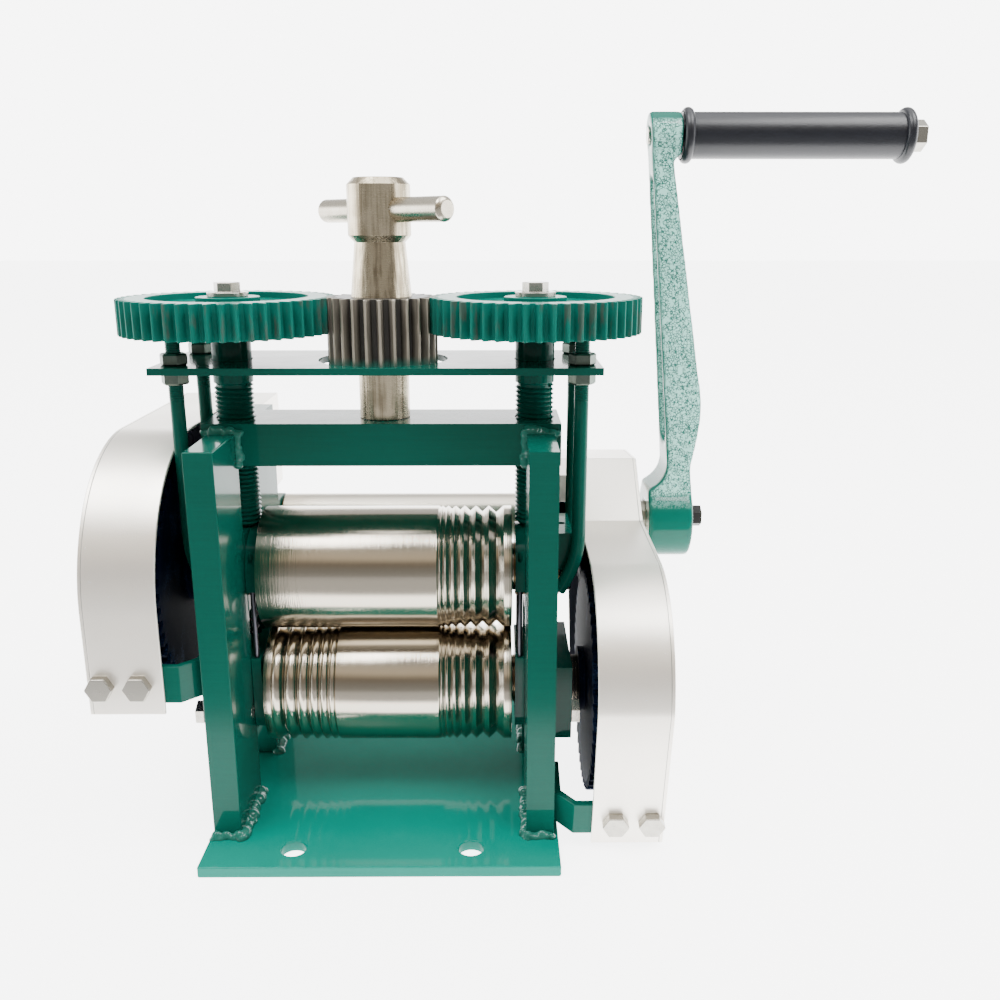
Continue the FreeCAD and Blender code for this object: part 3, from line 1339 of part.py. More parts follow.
def make_handle():
    """Spindle with its pinion, the cross bar of the handle and its pin."""
    start = "(%s + sizes.side_play)" % BAR_TOP
    pinion_top = "(%s + sizes.pinion_tall)" % PINION_BASE
    cone_top = "(%s + sizes.cone_tall)" % pinion_top
    head_top = "(%s + sizes.head_tall)" % cone_top
    chamfer = "sizes.head_chamfer"
    bar_z = "(%s + sizes.head_tall / 2)" % cone_top
    spindle = new_body("adjusting_spindle_turned")
    section = new_sketch(spindle, "spindle_section", "XZ_Plane")
    outline(section, [
        ("0", "%s - sizes.pivot_deep" % BAR_TOP),
        ("sizes.pivot_diameter / 2", "%s - sizes.pivot_deep" % BAR_TOP),
        ("sizes.pivot_diameter / 2", start), ("sizes.spindle_diameter / 2", start),
        ("sizes.spindle_diameter / 2", PINION_BASE),
        ("sizes.spindle_core / 2", PINION_BASE),
        ("sizes.spindle_core / 2", pinion_top), ("sizes.cone_low / 2", pinion_top),
        ("sizes.cone_high / 2", cone_top),
        ("sizes.head_diameter / 2", "%s + %s" % (cone_top, chamfer)),
        ("sizes.head_diameter / 2", "%s - %s" % (head_top, chamfer)),
        ("sizes.head_diameter / 2 - " + chamfer, head_top), ("0", head_top)])
    revolve(spindle, section, "V_Axis")
    bar_half = "sizes.tee_diameter / 2"
    tip = bar_half + " - sizes.tee_bevel"
    bar = turned("tee_bar", "XZ_Plane", "H_Axis", [
        ("-sizes.tee_left", "0"), ("sizes.tee_right", "0"), ("sizes.tee_right", tip),
        ("sizes.tee_right - sizes.tee_bevel", bar_half),
        ("-sizes.tee_left + sizes.tee_bevel", bar_half), ("-sizes.tee_left", tip)], z=bar_z)
    bar.setExpression("Placement.Rotation.Yaw", "-sizes.tee_turn")
    bar_hole = cylinder("tee_bar_hole", ["0", "0", bar_z], bar_half, "2 * sizes.head_diameter")
    turn = FreeCAD.Rotation(FreeCAD.Vector(0, 0, 1), -number("sizes.tee_turn"))
    bar_hole.Placement = FreeCAD.Placement(FreeCAD.Vector(), turn.multiply(ALONG_X))
    bind_place(bar_hole, "-sizes.head_diameter * cos(sizes.tee_turn)",
               "sizes.head_diameter * sin(sizes.tee_turn)", bar_z)
    pin = cylinder("tee_pin_rod", ["0", "0", bar_z + " + sizes.tee_diameter / 2"],
                   "sizes.tee_pin / 2", "%s - %s - sizes.tee_diameter / 2" % (head_top, bar_z))
    hole = cylinder("tee_pin_hole", ["0", "0", bar_z + " + sizes.tee_diameter / 2"],
                    "sizes.tee_pin / 2", "%s - %s - sizes.tee_diameter / 2" % (head_top, bar_z))
    keep(cut("adjusting_spindle_bored", spindle, fuse("spindle_holes", [bar_hole, hole])),
         "adjusting_spindle")
    keep(pin, "tee_bar_pin")
    shape = gear_disc(number(TOP_MODULE), int(number("sizes.adjust_teeth")),
                      number("sizes.tooth_play"), 1.0, number("sizes.pinion_tall"), 0.0)
    shape = shape.cut(Part.makeCylinder(number("sizes.spindle_core / 2"),
                                        number("sizes.pinion_tall")))
    place_shape("adjusting_pinion", shape, vector("0", "0", PINION_BASE), ALONG_Z)


# ---------------------------------------------------------------- guards

def guard(label, sign, inner, corners, arcs, lining, lining_arcs, case, case_lining, window):
    """Sheet cover: an outline padded outwards, hollowed from the inner side."""
    outwards = sign == ""
    body = new_body(label, sign + inner)
    shell = new_sketch(body, label + "_shell", "YZ_Plane")
    outline(shell, corners, arcs)
    pad(body, shell, "sizes.guard_width", reverse=not outwards)
    extra = new_sketch(body, label + "_case", "YZ_Plane")
    outline(extra, case)
    depth = "(%s - %s + sizes.guard_case_lap)" % (inner, OUTER_FACE)
    pad(body, extra, depth, reverse=outwards)
    hollow = new_sketch(body, label + "_hollow", "YZ_Plane")
    outline(hollow, lining, lining_arcs)
    pocket(body, hollow, "sizes.guard_width - sizes.guard_sheet", reverse=outwards)
    inside = new_sketch(body, label + "_case_hollow", "YZ_Plane")
    outline(inside, case_lining)
    pocket(body, inside, "%s - sizes.guard_sheet" % depth, reverse=not outwards)
    if window:
        hole = new_sketch(body, label + "_shaft_hole", "YZ_Plane")
        ring(hole, *window)
        pocket(body, hole)
    keep(body, label)


def make_guards():
    wall = "sizes.guard_sheet"
    below = "(%s - %s)"
    back = "(%s + %s + sizes.guard_room)" % (DRIVE_Y, PINION_TIP)
    bearing_top = "(%s + sizes.bearing_half + sizes.side_play)" % DRIVE_Z
    case_low = below % (bearing_top, wall)
    front = "(%s + sizes.side_play)" % FRAME_HALF
    # left guard: round the upper roller gear, flat on top back to the drive pinion
    radius = "(%s + sizes.left_guard_way)" % ROLLER_TIP
    centre_y = "sizes.left_guard_centre"
    low = "(%s - sizes.left_guard_drop)" % UPPER_AXIS
    top = "(%s + sizes.left_guard_rise)" % UPPER_AXIS
    centre_z = below % (top, radius)
    open_low = below % (low, wall)
    guard("gear_guard_left", "-", LEFT_GUARD_INNER,
          [("%s - %s" % (centre_y, radius), low), (back, low), (back, top), (centre_y, top),
           ("%s - %s" % (centre_y, radius), centre_z)],
          {3: (radius, 1)},
          [("%s - %s + %s" % (centre_y, radius, wall), open_low),
           ("%s - %s" % (back, wall), open_low),
           ("%s - %s" % (back, wall), "%s - %s" % (top, wall)),
           (centre_y, "%s - %s" % (top, wall)),
           ("%s - %s + %s" % (centre_y, radius, wall), centre_z)],
          {3: ("%s - %s" % (radius, wall), 1)},
          [(front, bearing_top), (back, bearing_top), (back, top), (front, top)],
          [("%s + %s" % (front, wall), case_low),
           ("%s - %s" % (back, wall), case_low),
           ("%s - %s" % (back, wall), "%s - %s" % (top, wall)),
           ("%s + %s" % (front, wall), "%s - %s" % (top, wall))],
          None)
    # right guard: down in front of the lower roller gear, stepped up over the pinion
    radius = "sizes.right_guard_radius"
    middle_y = "-sizes.right_guard_centre"
    middle_z = "(sizes.lower_axis + sizes.right_guard_middle)"
    crown = "(%s + %s)" % (middle_z, radius)
    foot = "-sizes.right_guard_foot"
    low = "(sizes.lower_axis - sizes.right_guard_drop)"
    pinion_top = "%s + %s" % (DRIVE_Z, PINION_TIP)
    crease = ("(%s - sizes.right_crease_before)" % DRIVE_Y,
              "(%s + sizes.right_crease_rise)" % DRIVE_Z)
    brow = ("(%s - sizes.right_brow_before)" % DRIVE_Y,
            "(%s + sizes.right_brow_way)" % pinion_top)
    rear = (back, "(%s + sizes.right_back_way)" % pinion_top)
    waist = (back, "(%s - sizes.right_waist_drop)" % DRIVE_Z)
    tail = "(%s - sizes.right_tail_before)" % DRIVE_Y
    rise = "((%s - %s) / (%s - %s))" % (brow[1], crease[1], brow[0], crease[0])
    step = "(%s + (%s - %s) * %s)" % (crease[1], front, crease[0], rise)
    guard("gear_guard_right", "", RIGHT_GUARD_INNER,
          [(foot, low), (tail, low), waist, rear, brow, crease, (middle_y, crown),
           ("%s - %s" % (middle_y, radius), middle_z)],
          {6: (radius, 1)},
          [("%s + %s" % (foot, wall), low),
           ("%s - %s" % (tail, wall), low),
           ("%s - %s" % (waist[0], wall), waist[1]),
           ("%s - %s" % (rear[0], wall), "%s - %s" % (rear[1], wall)),
           (brow[0], "%s - %s" % (brow[1], wall)),
           (crease[0], "%s - %s" % (crease[1], wall)),
           (middle_y, "%s - %s" % (crown, wall)),
           ("%s - %s + %s" % (middle_y, radius, wall), middle_z)],
          {6: ("%s - %s" % (radius, wall), 1)},
          [(front, bearing_top), (back, bearing_top), rear, brow, (front, step)],
          [("%s + %s" % (front, wall), case_low),
           ("%s - %s" % (back, wall), case_low),
           ("%s - %s" % (back, wall), "%s - %s" % (rear[1], wall)),
           (brow[0], "%s - %s" % (brow[1], wall)),
           ("%s + %s" % (front, wall), "%s - %s" % (step, wall))],
          (DRIVE_Y, DRIVE_Z, JOURNAL + " + sizes.guard_shaft_way"))


def make_guard_straps():
    """Flat strips from the front legs to the foot of each guard, and their bolts."""
    lean_right = "atan((sizes.right_guard_centre + sizes.right_guard_radius" \
                 " - sizes.right_guard_foot) / (sizes.right_guard_middle" \
                 " + sizes.right_guard_drop))"
    rows = (
        ("left", "-", LEFT_GUARD_INNER, "0",
         "(sizes.left_guard_centre - %s - sizes.left_guard_way)" % ROLLER_TIP,
         "(%s - sizes.left_guard_drop)" % UPPER_AXIS),
        ("right", "", RIGHT_GUARD_INNER, lean_right, "(-sizes.right_guard_foot)",
         "(sizes.lower_axis - sizes.right_guard_drop)"))
    bolts = []
    for side, sign, inner, lean, foot_y, foot_z in rows:
        name = "guard_strap_" + side
        low_z = "(%s + sizes.strap_lift * cos(%s))" % (foot_z, lean)
        low_y = "(%s + sizes.guard_sheet - sizes.strap_lift * sin(%s))" % (foot_y, lean)
        body = new_body(name, "0", low_y, low_z)
        body.Placement.Rotation = FreeCAD.Rotation(FreeCAD.Vector(1, 0, 0), number(lean))
        thick = "sizes.strap_thick"
        tip = "(%s + sizes.strap_reach)" % inner
        tab = "(%s + sizes.strap_bend)" % OUTER_FACE
        leg_y = "(-%s + sizes.strap_tab - %s)" % (FRAME_HALF, low_y)
        plan = new_sketch(body, name + "_plan", "XY_Plane")
        raw = [(OUTER_FACE, leg_y), (OUTER_FACE, "sizes.strap_bend"), (tab, "0"), (tip, "0"),
               (tip, thick), ("(%s + sizes.strap_fold)" % tab, thick),
               ("(%s + %s)" % (OUTER_FACE, thick), "(sizes.strap_bend + sizes.strap_fold)"),
               ("(%s + %s)" % (OUTER_FACE, thick), leg_y)]
        outline(plan, [(sign + x, y) for x, y in raw])
        pad(body, plan, "sizes.strap_height")
        keep(body, name)
        outward = FreeCAD.Rotation(FreeCAD.Vector(1, 0, 0), 90.0 + number(lean))
        for place, along in (("near", "sizes.strap_bolt_near"), ("far", "sizes.strap_bolt_far")):
            head = hexagon("%s_bolt_%s" % (name, place),
                           ["%s(%s + %s)" % (sign, inner, along),
                            "%s - sizes.guard_sheet * cos(%s) - sizes.strap_height / 2 * sin(%s)"
                            % (low_y, lean, lean),
                            "%s - sizes.guard_sheet * sin(%s) + sizes.strap_height / 2 * cos(%s)"
                            % (low_z, lean, lean)],
                           "sizes.small_head", "sizes.small_head_tall", outward)
            bolts.append(head)
    keep(group("guard_bolts", bolts), "guard_bolts")


# ---------------------------------------------------------------- build

def build():
    fill_sheet()
    make_base()
    make_legs()
    make_crossbar()
    make_welds()
    make_lower_blocks()
    make_upper_blocks()
    make_block_hardware()
    make_bushes()
    make_rollers()
    make_drive_gears()
    make_idler_stud()
    make_drive_shaft()
    make_drive_bearings()
    make_crank()
    make_grip()
    make_plate()
    make_stays()
    make_screws()
    make_handle()
    make_guards()
    make_guard_straps()
    document.recompute()


def check():
    """Stop when an object failed or a piece has no sound solid."""
    for thing in document.Objects:
        if "Invalid" in thing.State or "Error" in thing.State:
            raise RuntimeError("%s failed: %s" % (thing.Label, thing.State))
    for label, thing in NODES.items():
        shape = thing.Shape
        if shape.isNull() or not shape.isValid() or not shape.Solids:
            raise RuntimeError(label + " has no sound solid")


def write():
    os.makedirs("parts", exist_ok=True)
    for label, thing in NODES.items():
        thing.Shape.exportStep(os.path.join("parts", label + ".step"))
        print("%-24s %8.1f mm3 %d" % (label, thing.Shape.Volume, len(thing.Shape.Solids)))


build()
check()
write()
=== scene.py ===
import logging
import math
from dataclasses import dataclass, field
from enum import Enum
from typing import Optional, Sequence

import bmesh
import bpy
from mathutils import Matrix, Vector
from mathutils.bvhtree import BVHTree


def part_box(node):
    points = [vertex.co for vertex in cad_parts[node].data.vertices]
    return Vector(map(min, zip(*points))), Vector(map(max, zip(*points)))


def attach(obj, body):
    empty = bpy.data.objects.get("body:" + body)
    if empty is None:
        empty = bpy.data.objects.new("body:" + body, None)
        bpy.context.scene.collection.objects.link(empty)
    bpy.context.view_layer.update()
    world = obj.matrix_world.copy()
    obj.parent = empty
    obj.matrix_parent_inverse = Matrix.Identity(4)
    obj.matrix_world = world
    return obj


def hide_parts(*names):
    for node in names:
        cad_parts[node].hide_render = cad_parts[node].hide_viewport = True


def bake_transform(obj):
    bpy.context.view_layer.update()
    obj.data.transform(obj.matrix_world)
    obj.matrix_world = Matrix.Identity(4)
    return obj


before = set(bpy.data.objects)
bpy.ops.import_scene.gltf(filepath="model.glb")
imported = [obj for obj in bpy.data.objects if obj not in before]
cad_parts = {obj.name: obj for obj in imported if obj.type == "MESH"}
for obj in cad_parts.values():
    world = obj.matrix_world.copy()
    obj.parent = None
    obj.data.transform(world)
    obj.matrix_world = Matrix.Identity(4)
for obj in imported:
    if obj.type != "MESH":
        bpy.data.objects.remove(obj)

MM = 0.001
LOG = logging.getLogger("rolling_mill")
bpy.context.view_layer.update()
Colour = tuple[float, float, float]


class Axis(Enum):
    """Direction along which a turned piece or a bolt lies."""

    X = 0
    Y = 1
    Z = 2


class Side(Enum):
    """Side of the mill, as the sign of its X."""

    LEFT = -1
    RIGHT = 1

    @property
    def word(self) -> str:
        """Name of the side as it stands in node names."""
        return self.name.lower()


def span(node: str, axis: Axis) -> tuple[float, float]:
    """Lowest and highest place of a solid along an axis.

    Args:
        node: the solid.
        axis: the axis.

    Returns:
        The two places, in millimetres.
    """
    low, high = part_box(node)
    return low[axis.value] / MM, high[axis.value] / MM


def share(value: float) -> float:
    """Value held between 0 and 1."""
    return min(max(value, 0.0), 1.0)


# ------------------------------------------------------------------ shader maths


class Wire:
    """A node's output that takes Python arithmetic."""

    def __init__(self, bench: "Bench", socket: bpy.types.NodeSocket) -> None:
        """Hold a socket of the bench's tree.

        Args:
            bench: the tree that the socket belongs to.
            socket: the output socket.
        """
        self.bench = bench
        self.socket = socket

    def _with(self, operation: str, *values: "Wire | float") -> "Wire":
        """Math node on these values.

        Args:
            operation: the Math node's operation.
            values: its inputs in order.

        Returns:
            The node's value.
        """
        return self.bench.node("ShaderNodeMath", {"operation": operation}, dict(enumerate(values)))

    def __add__(self, other: "Wire | float") -> "Wire":
        """Sum."""
        return self._with("ADD", self, other)

    __radd__ = __add__

    def __sub__(self, other: "Wire | float") -> "Wire":
        """Difference."""
        return self._with("SUBTRACT", self, other)

    def __rsub__(self, other: "Wire | float") -> "Wire":
        """Difference from a number."""
        return self._with("SUBTRACT", other, self)

    def __mul__(self, other: "Wire | float") -> "Wire":
        """Product."""
        return self._with("MULTIPLY", self, other)

    __rmul__ = __mul__

    def __pow__(self, other: "Wire | float") -> "Wire":
        """Power."""
        return self._with("POWER", self, other)

    def near(self, place: float, reach: float) -> "Wire":
        """One at a place, falling to zero at a distance from it.

        Args:
            place: the place.
            reach: the distance.

        Returns:
            A value from 0 to 1.
        """
        return 1.0 - self._with("ABSOLUTE", self - place).above(reach / 2, reach)

    def above(self, limit: float, soft: float) -> "Wire":
        """Zero under the limit, one over it, with a soft step.

        Args:
            limit: middle of the step.
            soft: width of the step.

        Returns:
            A value from 0 to 1.
        """
        return self.bench.node(
            "ShaderNodeMapRange",
            {"interpolation_type": "SMOOTHSTEP"},
            {"Value": self, "From Min": limit - soft / 2, "From Max": limit + soft / 2},
        )


class Bench:
    """Adds nodes to one material and ends in its Principled shader."""

    def __init__(self, name: str) -> None:
        """Start an empty material.

        Args:
            name: the material's name.
        """
        self.material = bpy.data.materials.new(name)
        self.material.use_nodes = True
        self.tree = self.material.node_tree
        self.shader = self.tree.nodes["Principled BSDF"]
        self.spot = self.node("ShaderNodeTexCoord", output="Object")

    def node(
        self,
        kind: str,
        settings: Optional[dict] = None,
        inputs: Optional[dict] = None,
        output: "int | str" = 0,
    ) -> Wire:
        """Add one node.

        Args:
            kind: the node's type.
            settings: properties that are set first; "stops" fills a ramp.
            inputs: values or wires by socket name or number.
            output: the output that is wanted.

        Returns:
            The output as a wire.
        """
        made = self.tree.nodes.new(kind)
        for key, value in (settings or {}).items():
            if key == "stops":
                self._fill_ramp(made.color_ramp, value)
            else:
                setattr(made, key, value)
        for key, value in (inputs or {}).items():
            self.join(made.inputs[key], value)
        return Wire(self, made.outputs[output])

    @staticmethod
    def _fill_ramp(ramp: bpy.types.ColorRamp, stops: Sequence[tuple[float, Colour]]) -> None:
        """Set the stops of a colour ramp.

        Args:
            ramp: the ramp.
            stops: position and colour of each stop.
        """
        while len(ramp.elements) < len(stops):
            ramp.elements.new(1.0)
        for element, (place, colour) in zip(ramp.elements, stops):
            element.position = place
            element.color = (*colour, 1.0)

    def join(self, socket: bpy.types.NodeSocket, value: "Wire | float | Sequence[float]") -> None:
        """Link a wire to a socket or set the socket's value.

        Args:
            socket: an input socket.
            value: a wire, a number or a colour.
        """
        if isinstance(value, Wire):
            self.tree.links.new(value.socket, socket)
        elif isinstance(value, (tuple, list)) and len(value) == 3 and socket.type == "RGBA":
            socket.default_value = (*value, 1.0)
        else:
            socket.default_value = value

    def noise(self, size: float, detail: float = 3.0, spot: Optional[Wire] = None) -> Wire:
        """Noise from 0 to 1.

        Args:
            size: width of one blotch in metres.
            detail: octaves.
            spot: coordinates, if not the piece's own.

        Returns:
            The noise.
        """
        return self.node("ShaderNodeTexNoise", None, {
            "Vector": spot or self.spot, "Scale": 1.0 / size, "Detail": detail})

    def streaks(self, scale: Sequence[float], detail: float = 3.0) -> Wire:
        """Noise drawn out along some axes.

        Args:
            scale: blotches to the metre along X, Y and Z.
            detail: octaves.

        Returns:
            The noise.
        """
        spot = self.node("ShaderNodeMapping", None, {"Vector": self.spot, "Scale": scale})
        return self.noise(1.0, detail, spot)

    def axis(self, axis: Axis) -> Wire:
        """Object coordinate along one axis, in metres."""
        return self.node("ShaderNodeSeparateXYZ", None, {0: self.spot}, axis.value)

    def radius(self, centre: float = 0.0) -> Wire:
        """Distance from an upright axis at an X, in metres."""
        across, along = self.axis(Axis.X) - centre, self.axis(Axis.Y)
        return (across * across + along * along) ** 0.5

    def mark(self, name: str) -> Wire:
        """Value that a mesh keeps under a name."""
        return self.node("ShaderNodeAttribute", {"attribute_name": name}, output="Fac")

    def blend(self, low: "Wire | Colour", high: "Wire | Colour", share: "Wire | float") -> Wire:
        """Colour between two colours.

        Args:
            low: colour at share 0.
            high: colour at share 1.
            share: the share.

        Returns:
            The colour.
        """
        return self.node(
            "ShaderNodeMix", {"data_type": "RGBA"}, {0: share, 6: low, 7: high}, output=2
        )

    def bump(self, height: Wire, strength: float, distance: float,
             under: Optional[Wire] = None) -> Wire:
        """Bump from a height.

        Args:
            height: the height, about 0 to 1.
            strength: how much of it shows.
            distance: real height in metres.
            under: a bump that lies below this one.

        Returns:
            The normal.
        """
        inputs = {"Height": height, "Strength": strength, "Distance": distance}
        if under is not None:
            inputs["Normal"] = under
        return self.node("ShaderNodeBump", None, inputs)

    def set(self, **values: "Wire | float | Sequence[float]") -> None:
        """Set sockets of the Principled shader; an underscore stands for a space.

        Args:
            values: socket names with values or wires.
        """
        for key, value in values.items():
            self.join(self.shader.inputs[key.replace("_", " ")], value)


# ------------------------------------------------------------------ finishes


@dataclass(frozen=True)
class Finish:
    """One finish, built once as a material."""

    name: str
    slot: str

    def paint(self, bench: Bench) -> None:
        """Build the nodes of this finish.

        Args:
            bench: the material's node bench.
        """
        raise NotImplementedError

    def material(self) -> bpy.types.Material:
        """Material of this finish.

        Returns:
            The material, made at the first call.
        """
        label = self.name + "_finish"
        found = bpy.data.materials.get(label)
        if found is None:
            bench = Bench(label)
            self.paint(bench)
            found = bench.material
        return found


@dataclass(frozen=True)
class Enamel(Finish):
    """Glossy sprayed enamel with orange peel and settled dust."""

    deep: Colour = (0.0, 0.042, 0.03)
    light: Colour = (0.0, 0.075, 0.053)
    peel: float = 0.0035
    peel_height: float = 0.00006
    gloss: float = 0.14
    coat: float = 0.26

    def paint(self, bench: Bench) -> None:
        """Enamel nodes."""
        cloud = bench.noise(0.05, 2.0)
        streak = bench.noise(0.012, 4.0)
        grain = bench.noise(0.0006, 2.0)
        peel = bench.noise(self.peel, 2.0)
        drip = bench.noise(0.02, 1.0)
        sawn = bench.streaks((35.0, 35.0, 1100.0))
        colour = bench.blend(self.deep, self.light, cloud * 0.5 + grain * 0.25 + sawn * 0.3)
        bench.set(
            Base_Color=colour,
            Roughness=streak * 0.1 + grain * 0.06 + self.gloss,
            IOR=1.06,
            Coat_Weight=self.coat,
            Coat_Roughness=0.05,
            Coat_IOR=1.45,
            Normal=bench.bump(peel + grain * 0.15 + sawn * 0.35, 0.5, self.peel_height,
                              bench.bump(drip, 0.6, self.peel_height * 3)),
        )


@dataclass(frozen=True)
class HammeredEnamel(Finish):
    """Thick enamel over the wormy skin of a casting, where the mesh is marked as cast.

    The pale tint on the marked faces, broken by the dark valleys, is a painted highlight that
    stands for glare; with crest set to light, only the green paint is left.
    """

    deep: Colour = (0.0, 0.07, 0.05)
    light: Colour = (0.0, 0.115, 0.084)
    # Pale tint painted on as a highlight that stands for glare.
    crest: Colour = (0.46, 0.97, 0.86)
    cell: float = 0.00125
    height: float = 0.0006
    mark: str = "cast"

    def paint(self, bench: Bench) -> None:
        """Casting nodes."""
        bend = bench.node("ShaderNodeTexNoise", None,
                          {"Vector": bench.spot, "Scale": 420.0, "Detail": 1.0}, "Color")
        bent = bench.node("ShaderNodeVectorMath", {"operation": "MULTIPLY_ADD"},
                          {0: bend, 1: (0.0016, 0.0016, 0.0016), 2: bench.spot})
        edge = bench.node("ShaderNodeTexVoronoi", {"feature": "DISTANCE_TO_EDGE"},
                          {"Vector": bent, "Scale": 1.0 / self.cell}, "Distance")
        swell = bench.noise(0.003, 1.0)
        gate = bench.noise(0.0022, 1.0).above(0.42, 0.14)
        cloud = bench.noise(0.03, 2.0)
        peel = bench.noise(0.004, 2.0)
        # The cast mark carries both the real wormy skin and the painted glare.
        rough = bench.mark(self.mark)
        valley = (1.0 - edge.above(0.1, 0.13)) * gate
        side = bench.streaks((60.0, 60.0, 9.0), 2.0)
        # Share of painted glare: a pale painted highlight over the marked faces, cut by the dark
        # valleys.
        field = rough * (1.0 - valley * 0.92) * (0.42 + cloud * 0.35 + side * 0.4)
        skin = (swell * 0.8 - valley * 0.6) * rough
        bench.set(
            Base_Color=bench.blend(bench.blend(self.deep, self.light, cloud), self.crest, field),
            Roughness=0.14 + cloud * 0.06,
            IOR=1.12,
            Coat_Weight=0.22 + rough * 0.78,
            Coat_Roughness=0.05,
            Coat_IOR=1.55,
            Normal=bench.bump(skin, 1.0, self.height, bench.bump(peel, 0.5, 0.00007)),
        )


@dataclass(frozen=True)
class GroundSteel(Finish):
    """Steel ground and polished round an axis along X."""

    tone: Colour = (0.47, 0.43, 0.36)
    warm: Colour = (0.4, 0.33, 0.235)
    rough: float = 0.07
    line: float = 0.00035

    def paint(self, bench: Bench) -> None:
        """Ground steel nodes."""
        rings = bench.streaks((1.0 / self.line, 12.0, 12.0), 2.0)
        scratches = bench.streaks((60.0, 1400.0, 1400.0))
        stain = bench.noise(0.03, 3.0)
        bench.set(
            Base_Color=bench.blend(self.tone, self.warm, stain * 0.35),
            Metallic=1.0,
            Roughness=rings * 0.08 + scratches * 0.04 + stain * 0.05 + self.rough,
            Normal=bench.bump(rings, 0.6, 0.00012, bench.bump(scratches, 0.2, 0.00002)),
        )


@dataclass(frozen=True)
class SatinNickel(Finish):
    """Turned and plated steel with upright streaks; the dark streaks in its colour are painted
    reflections of the room.
    """

    bright: Colour = (0.52, 0.45, 0.325)
    dark: Colour = (0.14, 0.11, 0.07)
    rough: float = 0.18

    def paint(self, bench: Bench) -> None:
        """Nickel nodes."""
        rings = bench.streaks((20.0, 20.0, 2600.0), 2.0)
        streak = bench.streaks((330.0, 330.0, 9.0))
        fine = bench.streaks((1300.0, 1300.0, 45.0))
        stain = bench.noise(0.007, 3.0)
        # Upright dark streaks painted into the colour as reflections of the room.
        painted_reflection_streaks = (streak * 0.55 + fine * 0.25 + stain * 0.2).above(0.51, 0.18)
        bench.set(
            Base_Color=bench.blend(self.bright, self.dark, painted_reflection_streaks * 0.75),
            Metallic=1.0,
            Roughness=rings * 0.08 + stain * 0.1 + self.rough,
            Normal=bench.bump(streak, 0.5, 0.0006, bench.bump(rings + fine, 0.15, 0.00002)),
        )


@dataclass(frozen=True)
class GrimyTeeth(Finish):
    """Steel pinion with black grease in its gaps, bare tips and paint mist at its foot."""

    tip_radius: float = 0.0234
    foot: float = 0.2075
    grease: Colour = (0.018, 0.017, 0.015)
    flank: Colour = (0.16, 0.145, 0.12)
    bare: Colour = (0.62, 0.56, 0.46)
    mist: Colour = (0.0, 0.09, 0.065)

    def paint(self, bench: Bench) -> None:
        """Pinion nodes."""
        radius = bench.radius()
        streak = bench.streaks((900.0, 900.0, 60.0), 4.0)
        cloud = bench.noise(0.012, 3.0)
        grain = bench.noise(0.0006, 2.0)
        rim = (radius + (streak - 0.5) * 0.0016).above(self.tip_radius, 0.0006)
        depth = radius.above(self.tip_radius - 0.0024, 0.003)
        dirty = bench.blend(self.grease, self.flank, depth * (0.4 + streak * 0.9))
        metal = bench.blend(dirty, self.bare, rim * (0.1 + cloud * 0.5 + streak * 0.5))
        mist = 1.0 - (bench.axis(Axis.Z) + (cloud - 0.5) * 0.004).above(self.foot, 0.004)
        bench.set(
            Base_Color=bench.blend(metal, self.mist, mist * 0.8),
            Metallic=0.35 + rim * 0.6 - mist * 0.35,
            Roughness=0.3 + grain * 0.12 + streak * 0.1,
            Normal=bench.bump(grain + streak, 0.35, 0.00006),
        )


@dataclass(frozen=True)
class GuardPaint(Finish):
    """Silver paint on folded sheet with a seam at the outer plate; faces shut in by the sheet get
    near black painted shade.
    """

    seam: float = 0.1178
    tone: Colour = (0.94, 0.895, 0.82)
    dull: Colour = (0.68, 0.64, 0.57)
    # Near black, for the seam line and for the painted shade within the cover.
    dark: Colour = (0.006, 0.007, 0.02)
    mark: str = "inside"

    def paint(self, bench: Bench) -> None:
        """Silver paint nodes."""
        cloud = bench.noise(0.035, 3.0)
        fleck = bench.noise(0.0005, 2.0)
        speck = bench.noise(0.0022, 2.0).above(0.74, 0.05)
        rub = bench.streaks((18.0, 18.0, 160.0))
        inside = bench.mark(self.mark)
        seam = bench.axis(Axis.X).near(self.seam, 0.0003)
        colour = bench.blend(self.tone, self.dull, cloud * 0.5 + fleck * 0.3)
        colour = bench.blend(colour, (0.9, 0.9, 0.91), speck * 0.6)
        colour = bench.blend(colour, self.dark, seam * 0.75)
        bench.set(
            # Faces marked within the cover are painted near black as painted shade.
            Base_Color=bench.blend(colour, self.dark, inside),
            Metallic=0.75 - inside * 0.75,
            Roughness=0.26 + cloud * 0.1 + rub * 0.08 + inside * 0.4,
            Normal=bench.bump(fleck + rub * 0.3, 0.45, 0.00006,
                              bench.bump(speck - seam * 3.0, 0.4, 0.0001)),
        )


@dataclass(frozen=True)
class OiledIron(Finish):
    """Near black iron with a blue tint that is partly painted shade inside the guards, with an oily
    sheen and lighter worn spots.
    """

    # Near black blue tone, partly painted shade for the gears deep in the guards.
    deep: Colour = (0.0015, 0.0035, 0.012)
    worn: Colour = (0.01, 0.022, 0.055)

    def paint(self, bench: Bench) -> None:
        """Oiled iron nodes."""
        cloud = bench.noise(0.018, 4.0)
        grain = bench.noise(0.0008, 3.0)
        wear = (cloud * 0.6 + grain * 0.4).above(0.6, 0.14)
        bench.set(
            Base_Color=bench.blend(self.deep, self.worn, wear),
            Metallic=wear * 0.2,
            IOR=1.06,
            Roughness=0.5 + grain * 0.2,
            Normal=bench.bump(grain, 0.35, 0.0001),
        )


